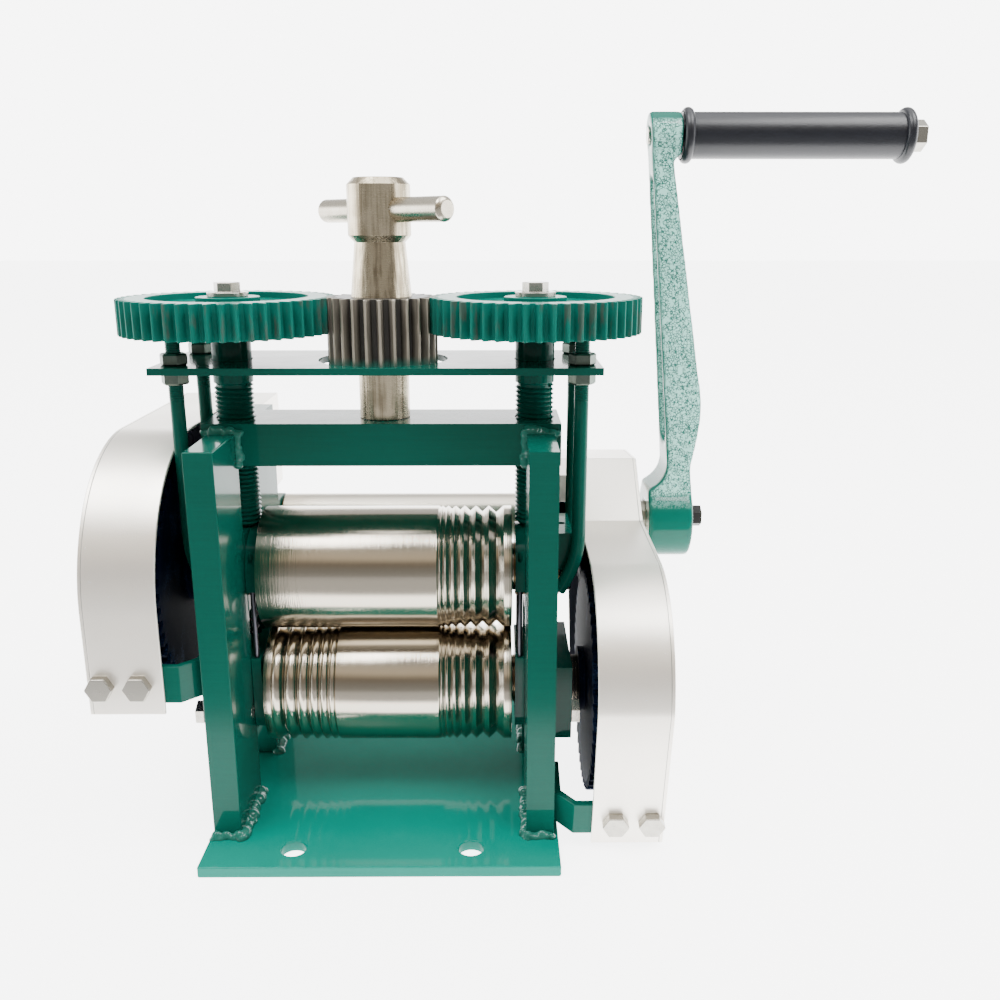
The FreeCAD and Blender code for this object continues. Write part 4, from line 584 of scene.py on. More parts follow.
@dataclass(frozen=True)
class WornTeeth(Finish):
    """Green enamel that has worn to bare metal on the teeth of a flat gear."""

    centre: float = 0.0
    bare_radius: float = 0.0437
    deep: Colour = (0.0, 0.082, 0.061)
    light: Colour = (0.0, 0.15, 0.115)
    metal: Colour = (0.075, 0.078, 0.066)

    def paint(self, bench: Bench) -> None:
        """Worn gear nodes."""
        radius = bench.radius(self.centre)
        streak = bench.streaks((320.0, 320.0, 90.0))
        cloud = bench.noise(0.03, 2.0)
        grain = bench.noise(0.0007, 2.0)
        bare = (radius + (streak - 0.5) * 0.003).above(self.bare_radius, 0.0012)
        bare = bare * (0.06 + 0.6 * (cloud * 0.5 + streak * 0.5).above(0.55, 0.12))
        paint = bench.blend(self.deep, self.light, cloud * 0.6 + grain * 0.3)
        bench.set(
            Base_Color=bench.blend(paint, self.metal, bare),
            Metallic=bare * 0.35,
            IOR=1.06,
            Roughness=0.3 + bare * 0.16 + grain * 0.06,
            Coat_Weight=0.16 - bare * 0.16,
            Normal=bench.bump(grain + streak * 0.5, 0.3, 0.00006),
        )


@dataclass(frozen=True)
class BareMetal(Finish):
    """Small plated or plain metal parts, with fine random marks."""

    tone: Colour = (0.62, 0.61, 0.58)
    dull: Colour = (0.36, 0.35, 0.33)
    rough: float = 0.22

    def paint(self, bench: Bench) -> None:
        """Plain metal nodes."""
        cloud = bench.noise(0.004, 3.0)
        grain = bench.noise(0.0005, 3.0)
        bench.set(
            Base_Color=bench.blend(self.tone, self.dull, cloud * 0.5 + grain * 0.2),
            Metallic=1.0,
            Roughness=cloud * 0.14 + grain * 0.08 + self.rough,
            Normal=bench.bump(grain + cloud, 0.3, 0.00004),
        )


@dataclass(frozen=True)
class BlackPlastic(Finish):
    """Moulded plastic with a satin skin and faint scuffs."""

    deep: Colour = (0.003, 0.0036, 0.006)
    scuffed: Colour = (0.014, 0.016, 0.024)

    def paint(self, bench: Bench) -> None:
        """Plastic nodes."""
        scuff = bench.streaks((60.0, 260.0, 260.0), 4.0)
        grain = bench.noise(0.0007, 2.0)
        bench.set(
            Base_Color=bench.blend(self.deep, self.scuffed, scuff * 0.4 + grain * 0.25),
            Roughness=0.26 + scuff * 0.08 + grain * 0.08,
            Specular_IOR_Level=0.4,
            Normal=bench.bump(grain + scuff * 0.4, 0.45, 0.00012),
        )


GREEN = Enamel("green_enamel", "green_enamel")
GREEN_CAST = HammeredEnamel("hammered_green", "crank_enamel")
# Lighter copy of the frame's green for the base plate: painted light that stands for the light its
# top reflects.
LIT_PLATE_GREEN = Enamel("plate_enamel", "green_enamel", (0.0, 0.105, 0.078), (0.0, 0.17, 0.128))
# Welds get a lighter copy of the frame's green: a painted highlight for the pale glints on the
# lumps.
HIGHLIT_WELD = Enamel("weld_enamel", "green_enamel", (0.0, 0.065, 0.046), (0.02, 0.13, 0.1), 0.0016,
              0.0003, 0.12, 0.5)
ROLLER_STEEL = GroundSteel("roller_steel", "roller_steel")
SHAFT_STEEL = GroundSteel("shaft_steel", "shaft_steel", (0.6, 0.56, 0.48), (0.52, 0.45, 0.36), 0.26)
NICKEL = SatinNickel("satin_nickel", "nickel_steel")
PINION = GrimyTeeth("grimy_pinion", "nickel_steel")
IRON = OiledIron("oiled_iron", "dark_gear")
BAR_STEEL = BareMetal("bar_steel", "nickel_steel", (0.56, 0.51, 0.42), (0.28, 0.25, 0.19), 0.16)
ZINC = BareMetal("zinc_plate", "zinc", (0.5, 0.48, 0.43), (0.17, 0.16, 0.135), 0.14)
STAINED = BareMetal("stained_zinc", "zinc", (0.16, 0.18, 0.155), (0.012, 0.05, 0.037), 0.3)
BLACKED = BareMetal("black_oxide", "zinc", (0.035, 0.035, 0.034), (0.012, 0.012, 0.012), 0.3)
BRONZE = BareMetal("bush_bronze", "bronze", (0.5, 0.34, 0.14), (0.32, 0.2, 0.09), 0.28)
SPRING = BareMetal("spring_steel", "spring_steel", (0.12, 0.12, 0.14), (0.05, 0.05, 0.06), 0.32)
PLASTIC = BlackPlastic("black_plastic", "black_plastic")


# ------------------------------------------------------------------ mesh tools


def smooth_by_angle(mesh: bpy.types.Mesh, degrees: float = 32.0) -> None:
    """Shade smooth and keep edges sharper than an angle.

    Args:
        mesh: the mesh to shade.
        degrees: the angle from which an edge stays sharp.
    """
    work = bmesh.new()
    work.from_mesh(mesh)
    limit = math.radians(degrees)
    for face in work.faces:
        face.smooth = True
    for edge in work.edges:
        edge.smooth = edge.calc_face_angle(0.0) < limit
    work.to_mesh(mesh)
    work.free()


def evaluated_mesh(thing: bpy.types.Object, name: str) -> bpy.types.Mesh:
    """Plain mesh of an object with its modifiers, which are then removed.

    Args:
        thing: the object.
        name: name of the mesh.

    Returns:
        The mesh.
    """
    graph = bpy.context.evaluated_depsgraph_get()
    mesh = bpy.data.meshes.new_from_object(thing.evaluated_get(graph))
    mesh.name = name
    thing.modifiers.clear()
    return mesh


def link(name: str, mesh: bpy.types.Mesh) -> bpy.types.Object:
    """Put a mesh in the scene.

    Args:
        name: name of the object.
        mesh: its mesh.

    Returns:
        The object.
    """
    thing = bpy.data.objects.new(name, mesh)
    bpy.context.scene.collection.objects.link(thing)
    return thing


def dress(thing: bpy.types.Object, body: Optional[str], finish: Finish,
          nodes: Sequence[str] = ()) -> bpy.types.Object:
    """Give a piece its finish, its body and the solids it stands for.

    Args:
        thing: the piece.
        body: the body that it moves with, or None for a piece that spans two bodies, which then
            rides on none.
        finish: its finish.
        nodes: the solids that it replaces.

    Returns:
        The piece.
    """
    thing.data.materials.clear()
    thing.data.materials.append(finish.material())
    if body:
        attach(thing, body)
    if nodes:
        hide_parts(*nodes)
    LOG.info("%s: %d faces", thing.name, len(thing.data.polygons))
    return thing


def merged_copy(node: str, name: str) -> bpy.types.Object:
    """Copy of a solid with its vertices merged and flat faces joined.

    Args:
        node: the solid.
        name: name of the copy.

    Returns:
        The copy, linked to the scene.
    """
    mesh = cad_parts[node].data.copy()
    mesh.name = name
    mesh.materials.clear()
    work = bmesh.new()
    work.from_mesh(mesh)
    bmesh.ops.remove_doubles(work, verts=work.verts, dist=1e-6)
    bmesh.ops.dissolve_limit(
        work, angle_limit=math.radians(0.4), verts=work.verts, edges=work.edges
    )
    work.to_mesh(mesh)
    work.free()
    if "custom_normal" in mesh.attributes:
        mesh.attributes.remove(mesh.attributes["custom_normal"])
    return link(name, mesh)


def softened(node: str, body: Optional[str], finish: Finish, width: float = 0.5,
             steps: int = 2, angle: float = 35.0) -> bpy.types.Object:
    """Solid with a small round along its edges.

    Args:
        node: the solid that is dressed.
        body: its body.
        finish: its finish.
        width: width of the round in millimetres.
        steps: segments of the round.
        angle: edges sharper than this are rounded.

    Returns:
        The piece.
    """
    thing = merged_copy(node, node + "_skin")
    smooth_by_angle(thing.data, 60.0)
    rounding = thing.modifiers.new("round", "BEVEL")
    rounding.width = width * MM
    rounding.segments = steps
    rounding.limit_method = "ANGLE"
    rounding.angle_limit = math.radians(angle)
    rounding.harden_normals = True
    rounding.use_clamp_overlap = True
    thing.data = evaluated_mesh(thing, node + "_skin")
    return dress(thing, body, finish, [node])


def rounded_profile(points: Sequence[tuple[float, float]], radius: float,
                    steps: int = 3) -> list[tuple[float, float]]:
    """Profile with a small round at every inner corner.

    Args:
        points: along and radius of each corner, in millimetres.
        radius: size of the round.
        steps: points along each round.

    Returns:
        The finer profile.
    """
    made = [points[0]]
    for before, corner, after in zip(points, points[1:], points[2:]):
        a, b, c = Vector(before), Vector(corner), Vector(after)
        reach = min(radius, (a - b).length * 0.45, (c - b).length * 0.45)
        start = b + (a - b).normalized() * reach
        end = b + (c - b).normalized() * reach
        for step in range(steps + 1):
            share = step / steps
            spot = start * (1 - share) ** 2 + b * (2 * share * (1 - share)) + end * share ** 2
            made.append((spot.x, spot.y))
    made.append(points[-1])
    return made


def spun(name: str, profile: Sequence[tuple[float, float]], axis: Axis,
         centre: Sequence[float], segments: int = 96, closed: bool = False) -> bpy.types.Mesh:
    """Turned mesh from a profile.

    Args:
        name: name of the mesh.
        profile: along and radius of each point, in millimetres.
        axis: direction of the axis.
        centre: a point on the axis, in millimetres.
        segments: steps round the axis.
        closed: True where the profile is a loop, as on a ring.

    Returns:
        The mesh.
    """
    work = bmesh.new()
    first, second = [(1, 2), (2, 0), (0, 1)][axis.value]

    def spot(along: float, radius: float, turn: float) -> Vector:
        """Point of the surface, in metres."""
        place = Vector(centre)
        place[axis.value] += along
        place[first] += radius * math.cos(turn)
        place[second] += radius * math.sin(turn)
        return place * MM

    rows = []
    for along, radius in profile:
        if radius < 1e-6:
            rows.append([work.verts.new(spot(along, 0.0, 0.0))] * segments)
        else:
            rows.append([work.verts.new(spot(along, radius, 2 * math.pi * k / segments))
                         for k in range(segments)])
    pairs = list(zip(rows, rows[1:])) + ([(rows[-1], rows[0])] if closed else [])
    for near, far in pairs:
        for k in range(segments):
            after = (k + 1) % segments
            loop = list(dict.fromkeys([near[k], far[k], far[after], near[after]]))
            if len(loop) > 2:
                work.faces.new(loop)
    bmesh.ops.recalc_face_normals(work, faces=work.faces)
    mesh = bpy.data.meshes.new(name)
    work.to_mesh(mesh)
    work.free()
    smooth_by_angle(mesh)
    return mesh


def joined(name: str, meshes: Sequence[bpy.types.Mesh]) -> bpy.types.Mesh:
    """One mesh of several.

    Args:
        name: name of the result.
        meshes: the parts, which are used up.

    Returns:
        The mesh.
    """
    work = bmesh.new()
    for mesh in meshes:
        work.from_mesh(mesh)
    made = bpy.data.meshes.new(name)
    work.to_mesh(made)
    work.free()
    for mesh in meshes:
        bpy.data.meshes.remove(mesh)
    return made


# ------------------------------------------------------------------ geometry nodes


class Grower:
    """Builds one Geometry Nodes tree and turns its result into a plain mesh."""

    def __init__(self, name: str, sizes: dict[str, tuple[str, float]]) -> None:
        """Start a tree with named inputs.

        Args:
            name: name of the tree.
            sizes: socket type and value of each named input.
        """
        self.tree = bpy.data.node_groups.new(name, "GeometryNodeTree")
        face = self.tree.interface
        face.new_socket("Geometry", in_out="INPUT", socket_type="NodeSocketGeometry")
        self.sizes = sizes
        self.keys = {}
        for word, (kind, _) in sizes.items():
            self.keys[word] = face.new_socket(word, in_out="INPUT", socket_type=kind).identifier
        face.new_socket("Geometry", in_out="OUTPUT", socket_type="NodeSocketGeometry")
        self.given = self.tree.nodes.new("NodeGroupInput").outputs
        self.result = self.tree.nodes.new("NodeGroupOutput").inputs[0]

    def add(self, kind: str, settings: Optional[dict] = None,
            inputs: Optional[dict] = None) -> bpy.types.NodeOutputs:
        """Add a node.

        Args:
            kind: the node's type.
            settings: properties, set first.
            inputs: sockets or values by name or number.

        Returns:
            The node's outputs.
        """
        made = self.tree.nodes.new(kind)
        for key, value in (settings or {}).items():
            setattr(made, key, value)
        for key, value in (inputs or {}).items():
            if isinstance(value, bpy.types.NodeSocket):
                self.tree.links.new(value, made.inputs[key])
            else:
                made.inputs[key].default_value = value
        return made.outputs

    def sum(self, operation: str, first: "bpy.types.NodeSocket | float",
            second: "bpy.types.NodeSocket | float") -> bpy.types.NodeSocket:
        """Math node.

        Args:
            operation: its operation.
            first: its first value.
            second: its second value.

        Returns:
            The value.
        """
        return self.add("ShaderNodeMath", {"operation": operation}, {0: first, 1: second})[0]

    def vector(self, **parts: "bpy.types.NodeSocket | float") -> bpy.types.NodeSocket:
        """Combine XYZ node; parts are X, Y and Z."""
        return self.add("ShaderNodeCombineXYZ", None, parts)[0]

    def end(self, geometry: bpy.types.NodeSocket, finish: Finish) -> None:
        """Realize the instances, set the material and close the tree.

        Args:
            geometry: the geometry so far.
            finish: the finish.
        """
        real = self.add("GeometryNodeRealizeInstances", None, {0: geometry})[0]
        done = self.add("GeometryNodeSetMaterial", None,
                        {"Geometry": real, "Material": finish.material()})[0]
        self.tree.links.new(done, self.result)

    def grow(self, name: str, points: Sequence[Vector], **values: float) -> bpy.types.Mesh:
        """Run the tree on some points.

        Args:
            name: name of the mesh.
            points: places, in metres.
            values: inputs that differ from their first values.

        Returns:
            The plain mesh.
        """
        seed = bpy.data.meshes.new(name + "_points")
        seed.from_pydata([tuple(p) for p in points], [], [])
        thing = link(name + "_source", seed)
        growth = thing.modifiers.new("growth", "NODES")
        growth.node_group = self.tree
        for word, (_, value) in self.sizes.items():
            growth[self.keys[word]] = values.get(word, value)
        bpy.context.view_layer.update()
        mesh = evaluated_mesh(thing, name)
        bpy.data.objects.remove(thing)
        return mesh


def hex_grower(finish: Finish) -> Grower:
    """Tree that puts a chamfered hexagon head on each point, its base at the point.

    Args:
        finish: finish of the heads.

    Returns:
        The tree.
    """
    tree = Grower("hex_heads", {
        "Across": ("NodeSocketFloat", 0.01),
        "Height": ("NodeSocketFloat", 0.004),
        "Chamfer": ("NodeSocketFloat", 0.0007),
    })
    across, height, cut = (tree.given[word] for word in ("Across", "Height", "Chamfer"))
    corner = tree.sum("MULTIPLY", across, 1.0 / math.sqrt(3.0))
    crown = tree.sum("SUBTRACT", corner, cut)
    shank = tree.sum("SUBTRACT", height, tree.sum("MULTIPLY", cut, 2.0))
    prism = tree.add("GeometryNodeMeshCylinder", None,
                     {"Vertices": 6, "Radius": corner, "Depth": shank})[0]
    parts = [tree.add("GeometryNodeTransform", None,
                      {"Geometry": prism,
                       "Translation": tree.vector(Z=tree.sum("MULTIPLY", height, 0.5))})[0]]
    lid = tree.sum("SUBTRACT", height, cut)
    for low, wide, narrow in ((0.0, crown, corner), (lid, corner, crown)):
        cone = tree.add("GeometryNodeMeshCone", None,
                        {"Vertices": 6, "Radius Bottom": wide, "Radius Top": narrow,
                         "Depth": cut})[0]
        parts.append(tree.add("GeometryNodeTransform", None,
                              {"Geometry": cone, "Translation": tree.vector(Z=low)})[0])
    whole = tree.add("GeometryNodeJoinGeometry")
    for part in reversed(parts):
        tree.tree.links.new(part, whole[0].node.inputs[0])
    heads = tree.add("GeometryNodeInstanceOnPoints", None,
                     {"Points": tree.given["Geometry"], "Instance": whole[0]})[0]
    tree.end(heads, finish)
    return tree


def bead_grower(finish: Finish) -> Grower:
    """Tree that piles uneven drops on points, as a weld bead does.

    Args:
        finish: finish of the bead.

    Returns:
        The tree.
    """
    tree = Grower("weld_drops", {
        "Size": ("NodeSocketFloat", 0.003),
        "Jitter": ("NodeSocketFloat", 0.0009),
        "Seed": ("NodeSocketInt", 3),
    })
    ball = tree.add("GeometryNodeMeshIcoSphere", None,
                    {"Radius": tree.given["Size"], "Subdivisions": 3})[0]
    uneven, tilt, stray = (
        tree.add("FunctionNodeRandomValue", {"data_type": "FLOAT_VECTOR"},
                 {0: low, 1: high, "Seed": tree.given["Seed"]})[0]
        for low, high in (
            ((0.55, 0.55, 0.5), (1.2, 1.2, 1.1)),
            ((-0.5, -0.5, -3.0), (0.5, 0.5, 3.0)),
            ((-1.0, -1.0, -0.6), (1.0, 1.0, 0.8)),
        )
    )
    shift = tree.add("ShaderNodeVectorMath", {"operation": "SCALE"},
                     {0: stray, "Scale": tree.given["Jitter"]})[0]
    places = tree.add("GeometryNodeSetPosition", None,
                      {"Geometry": tree.given["Geometry"], "Offset": shift})[0]
    drops = tree.add("GeometryNodeInstanceOnPoints", None,
                     {"Points": places, "Instance": ball,
                      "Rotation": tilt, "Scale": uneven})[0]
    tree.end(drops, finish)
    return tree


def thread_grower(finish: Finish) -> Grower:
    """Tree that winds a ridge round a screw, one for each point at its foot.

    Args:
        finish: finish of the thread.

    Returns:
        The tree.
    """
    tree = Grower("screw_thread", {
        "Radius": ("NodeSocketFloat", 0.008),
        "Pitch": ("NodeSocketFloat", 0.002),
        "Length": ("NodeSocketFloat", 0.05),
        "Ridge": ("NodeSocketFloat", 0.0008),
    })
    turns = tree.sum("DIVIDE", tree.given["Length"], tree.given["Pitch"])
    spiral = tree.add("GeometryNodeCurveSpiral", None, {
        "Resolution": 28, "Rotations": turns, "Start Radius": tree.given["Radius"],
        "End Radius": tree.given["Radius"], "Height": tree.given["Length"]})[0]
    upright = tree.add("GeometryNodeSetCurveNormal", {"mode": "Z_UP"}, {0: spiral})[0]
    ridge = tree.add("GeometryNodeCurvePrimitiveCircle", {"mode": "RADIUS"},
                     {"Resolution": 4, "Radius": tree.given["Ridge"]})[0]
    wound = tree.add("GeometryNodeCurveToMesh", None,
                     {"Curve": upright, "Profile Curve": ridge, "Fill Caps": True})[0]
    threads = tree.add("GeometryNodeInstanceOnPoints", None,
                       {"Points": tree.given["Geometry"], "Instance": wound})[0]
    tree.end(threads, finish)
    return tree


def run_of_points(start: Sequence[float], end: Sequence[float], gap: float) -> list[Vector]:
    """Even points from one place to another.

    Args:
        start: first place, in millimetres.
        end: last place.
        gap: about the distance between points.

    Returns:
        The points, in metres.
    """
    a, b = Vector(start), Vector(end)
    count = max(2, round((b - a).length / gap) + 1)
    return [(a + (b - a) * (k / (count - 1))) * MM for k in range(count)]


# ------------------------------------------------------------------ sub-assemblies


@dataclass
class WeldedFrame:
    """Base, legs, crossbar, gear plate and drive bearings in green enamel, with the welds."""

    body: str = "frame"
    round_edge: float = 0.7
    leg_inner: float = 62.0
    leg_outer: float = 74.0
    leg_near: float = 17.5
    leg_far: float = 55.0
    base_top: float = 5.0
    leg_top: float = 177.0
    bar_bottom: float = 162.5
    bead_gap: float = 1.5
    bead_voxel: float = 0.45
    finish: Finish = GREEN

    def plates(self) -> None:
        """Dress the bars and plates with rounded, painted edges."""
        names = ["base_plate", "head_crossbar", "gear_plate"]
        names += [f"leg_{place}_{side.word}" for place in ("front", "rear") for side in Side]
        names += [f"drive_bearing_{side.word}" for side in Side]
        for name in names:
            # The base plate gets the lighter copy of the green, which is painted light.
            finish = LIT_PLATE_GREEN if name == "base_plate" else self.finish
            softened(name, self.body, finish, self.round_edge)

    def seams(self) -> list[list[Vector]]:
        """Rows of points along the welds.

        Returns:
            One list of points for each seam.
        """
        rows = []
        for side in Side:
            s = side.value
            inner, outer = s * self.leg_inner, s * self.leg_outer
            for end in (-1, 1):
                near, far = end * self.leg_near, end * self.leg_far
                foot, top = self.base_top, self.leg_top
                for start, stop in (
                    ((inner, far, foot), (outer, far, foot)),
                    ((inner, near, foot), (inner, far, foot)),
                    ((inner, near, self.bar_bottom + 1), (inner, near, top - 1)),
                    ((inner, near, top), (outer, near, top)),
                ):
                    rows.append(run_of_points(start, stop, self.bead_gap))
        return rows

    def welds(self) -> None:
        """Lumpy painted beads along the seams, in a lighter green that is a painted highlight."""
        tree = bead_grower(self.finish)
        meshes = [tree.grow(f"seam_{k}", row, Seed=k + 1) for k, row in enumerate(self.seams())]
        bead = link("weld_seams", joined("weld_seams", meshes))
        flow = bead.modifiers.new("flow", "REMESH")
        flow.mode = "VOXEL"
        flow.voxel_size = self.bead_voxel * MM
        ease = bead.modifiers.new("ease", "SMOOTH")
        ease.factor = 0.5
        ease.iterations = 8
        bead.data = evaluated_mesh(bead, "weld_seams")
        smooth_by_angle(bead.data, 80.0)
        dress(bead, self.body, HIGHLIT_WELD, ["weld_beads"])

    def build(self) -> None:
        """Build and dress the whole frame."""
        self.plates()
        self.welds()


@dataclass
class Bearings:
    """Blocks, bushes, pins and springs round the roller necks."""

    round_edge: float = 0.8

    def build(self) -> None:
        """Dress the fixed and the sliding blocks with what is in them."""
        for side in Side:
            softened(f"lower_block_{side.word}", "frame", GREEN, self.round_edge)
            softened(f"upper_block_{side.word}", "carriage", GREEN, self.round_edge)
            softened(f"lower_bush_{side.word}", "frame", BRONZE, 0.2, 1)
            softened(f"upper_bush_{side.word}", "upper_bushes", BRONZE, 0.2, 1)
            softened(f"drive_bush_{side.word}", "frame", BRONZE, 0.2, 1)
        softened("guide_pins", "frame", SPRING, 0.2, 1)
        springs = softened("lift_springs", None, SPRING, 0.1, 1)
        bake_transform(springs)


@dataclass
class Roller:
    """One ground roller with its necks and graded grooves."""

    name: str
    height: float
    gear_side: Side
    rounded: bool
    half: float = 56.0
    radius: float = 28.0
    neck: float = 11.0
    seat: float = 10.0
    gear_end: float = 104.8
    plain_end: float = 83.0
    shoulder: float = 87.5
    land: float = 3.5
    vee_widths: tuple[float, ...] = (6.8, 5.94, 5.08, 4.22, 3.36, 2.5, 1.64)
    round_widths: tuple[float, ...] = (6.3, 5.62, 4.94, 4.26, 3.58, 2.9)
    vee_ratio: float = 0.45
    round_ratio: float = 0.55
    round_gap: float = 0.3
    segments: int = 180

    def ends(self, left: bool) -> list[tuple[float, float]]:
        """Neck on one side, from its tip to the barrel.

        Args:
            left: True for the left end.

        Returns:
            The profile with positive distances.
        """
        geared = (self.gear_side is Side.LEFT) == left
        tip = self.gear_end if geared else self.plain_end
        points = [(tip, 0.0)]
        if geared:
            points += [(tip, self.seat), (self.shoulder, self.seat), (self.shoulder, self.neck)]
        else:
            points += [(tip, self.neck)]
        points += [(self.half, self.neck), (self.half, self.radius)]
        return points

    def half_round(self, start: float, width: float) -> list[tuple[float, float]]:
        """Arc of one rounded groove.

        Args:
            start: left edge of the groove.
            width: its width.

        Returns:
            Points along the arc.
        """
        arc = self.round_ratio * width
        drop = math.sqrt(arc * arc - width * width / 4.0)
        reach = math.asin(width / 2.0 / arc)
        points = []
        for step in range(9):
            turn = -reach + 2 * reach * step / 8
            points.append((start + width / 2.0 + arc * math.sin(turn),
                           self.radius + drop - arc * math.cos(turn)))
        return points

    def profile(self) -> list[tuple[float, float]]:
        """Whole outline from the left tip to the right tip.

        Returns:
            Along and radius of each point.
        """
        points = [(-x, r) for x, r in self.ends(True)]
        if self.rounded:
            start = -self.half + self.land
            for width in self.round_widths:
                points += self.half_round(start, width)
                start += width + self.round_gap
        vees = []
        start = self.half - self.land
        for width in self.vee_widths:
            vees.append((start, self.radius))
            vees.append((start - width / 2.0, self.radius - self.vee_ratio * width))
            start -= width
        vees.append((start, self.radius))
        points += list(reversed(vees))
        points += list(reversed(self.ends(False)))
        return points

    def build(self) -> None:
        """Turn the roller and dress it."""
        outline = rounded_profile(self.profile(), 0.25, 2)
        mesh = spun(self.name + "_turned", outline, Axis.X, (0, 0, self.height), self.segments)
        smooth_by_angle(mesh, 24.0)
        dress(link(self.name + "_turned", mesh), self.name, ROLLER_STEEL, [self.name])


@dataclass
class GearTrain:
    """Dark gears inside the guards, the idler and the drive shaft."""

    round_edge: float = 0.25
    drive: tuple[float, float] = (74.0, 113.3)
    thick: float = 12.2
    journal: float = 8.0
    shoulder: float = 62.3

    def build(self) -> None:
        """Dress the gears and turn the shaft."""
        for name, body in (("upper_roller_gear", "upper_roller"),
                           ("lower_roller_gear", "lower_roller"),
                           ("drive_pinion_left", "crank"), ("drive_pinion_right", "crank"),
                           ("idler_gear", "idler"), ("idler_stud", "frame"),
                           ("idler_clip", "frame")):
            softened(name, body, IRON, self.round_edge, 1)
        left, right = span("drive_shaft", Axis.X)
        profile = [(left, 0.0), (left, self.journal),
                   (-self.shoulder, self.journal), (-self.shoulder, self.thick),
                   (self.shoulder, self.thick), (self.shoulder, self.journal),
                   (right, self.journal), (right, 0.0)]
        mesh = spun("drive_shaft_turned", rounded_profile(profile, 0.6), Axis.X,
                    (0, *self.drive), 128)
        dress(link("drive_shaft_turned", mesh), "crank", SHAFT_STEEL, ["drive_shaft"])


@dataclass
class Crank:
    """Cast arm and the grip that turns at its end."""

    voxel: float = 1.0
    drive: tuple[float, float] = (74.0, 113.3)
    throw: float = 191.2
    rough_from: float = 122.0
    rough_fade: float = 5.0
    facing_from: float = 0.72
    facing_fade: float = 0.24
    grip_radius: float = 11.0
    bead_radius: float = 13.0
    bead_long: float = 5.0
    bore: float = 4.1

    def arm(self) -> None:
        """Soft cast body with rounded edges, wormy and painted with pale glare on its front and back
        faces above the hub.
        """
        thing = merged_copy("crank_arm", "crank_arm_cast")
        cast = thing.modifiers.new("cast", "REMESH")
        cast.mode = "VOXEL"
        cast.voxel_size = self.voxel * MM
        ease = thing.modifiers.new("ease", "SMOOTH")
        ease.factor = 0.5
        ease.iterations = 16
        mesh = evaluated_mesh(thing, "crank_arm_cast")
        thing.data = mesh
        smooth_by_angle(mesh, 70.0)
        # Mark of the front and back faces above the hub, which get the wormy skin and the painted
        # glare.
        mark = mesh.attributes.new(GREEN_CAST.mark, "FLOAT", "POINT")
        for vertex in mesh.vertices:
            facing = share((abs(vertex.normal.y) - self.facing_from) / self.facing_fade)
            foot = share((vertex.co.z / MM - self.rough_from) / self.rough_fade)
            mark.data[vertex.index].value = facing * foot
        dress(thing, "crank", GREEN_CAST, ["crank_arm"])

    def grip(self) -> None:
        """Plain tube with a bead at each end."""
        start, end = span("hand_grip", Axis.X)
        bead, body = self.bead_radius, self.grip_radius
        rise = bead - body
        points = [(start, self.bore), (start, bead - 1.6)]
        for low, high in ((start, start + self.bead_long), (end - self.bead_long, end)):
            middle, half = (low + high) / 2, (high - low) / 2
            for step in range(9):
                turn = math.pi * step / 8
                along = middle - half * math.cos(turn)
                points.append((along, body - 0.2 + (rise + 0.2) * math.sin(turn)))
        points += [(end, bead - 2.2), (end, self.bore)]
        centre = (0, self.drive[0], self.drive[1] + self.throw)
        mesh = spun("hand_grip_moulded", points, Axis.X, centre, 96, closed=True)
        smooth_by_angle(mesh, 50.0)
        dress(link("hand_grip_moulded", mesh), "grip", PLASTIC, ["hand_grip"])

    def build(self) -> None:
        """Build and dress the crank."""
        self.arm()
        self.grip()


@dataclass
class AdjustingTop:
    """Handle, pinion, two gears and two screws on the top plate."""

    screw_x: float = 66.0
    screw_radius: float = 8.5
    screw_foot: float = 131.8
    thread_top: float = 196.0
    gear_base: float = 218.2
    gear_top: float = 233.2
    gear_seat: float = 6.0
    lead_in: float = 1.2
    pitch: float = 2.0
    ridge: float = 0.85

    def screws(self) -> None:
        """Threaded pressure screws."""
        tree = thread_grower(GREEN)
        for side in Side:
            x = side.value * self.screw_x
            core = self.screw_radius - self.ridge * 1.15
            foot, top = self.screw_foot, self.thread_top
            profile = [(foot, 0.0), (foot, core - 1.0), (foot + self.lead_in, core), (top, core),
                       (top + 0.6, self.screw_radius), (self.gear_base, self.screw_radius),
                       (self.gear_base, self.gear_seat), (self.gear_top, self.gear_seat),
                       (self.gear_top, 0.0)]
            shank = spun("shank", rounded_profile(profile, 0.3), Axis.Z, (x, 0, 0), 64)
            ridge = tree.grow("thread", [Vector((x, 0, foot + 1.4)) * MM],
                              Radius=(self.screw_radius - self.ridge) * MM,
                              Pitch=self.pitch * MM, Ridge=self.ridge * MM,
                              Length=(top - foot - 2.0) * MM)
            name = "pressure_screw_" + side.word
            mesh = joined(name + "_threaded", [shank, ridge])
            smooth_by_angle(mesh, 40.0)
            dress(link(name + "_threaded", mesh), "screw_" + side.word, GREEN, [name])

    def gears(self) -> None:
        """Worn green gears and the bare pinion between them."""
        for side in Side:
            finish = WornTeeth("worn_gear_" + side.word, "top_gear_green",
                               side.value * self.screw_x * MM)
            softened("screw_gear_" + side.word, "screw_" + side.word, finish, 0.35, 2)
        softened("adjusting_pinion", "handle", PINION, 0.3, 2)

    def handle(self) -> None:
        """Spindle, cross bar and pin."""
        softened("adjusting_spindle", "handle", NICKEL, 0.35, 2)
        softened("tee_bar", "handle", BAR_STEEL, 0.6, 3)
        softened("tee_bar_pin", "handle", BAR_STEEL, 0.2, 1)

    def build(self) -> None:
        """Build and dress the top."""
        self.screws()
        self.gears()
        self.handle()


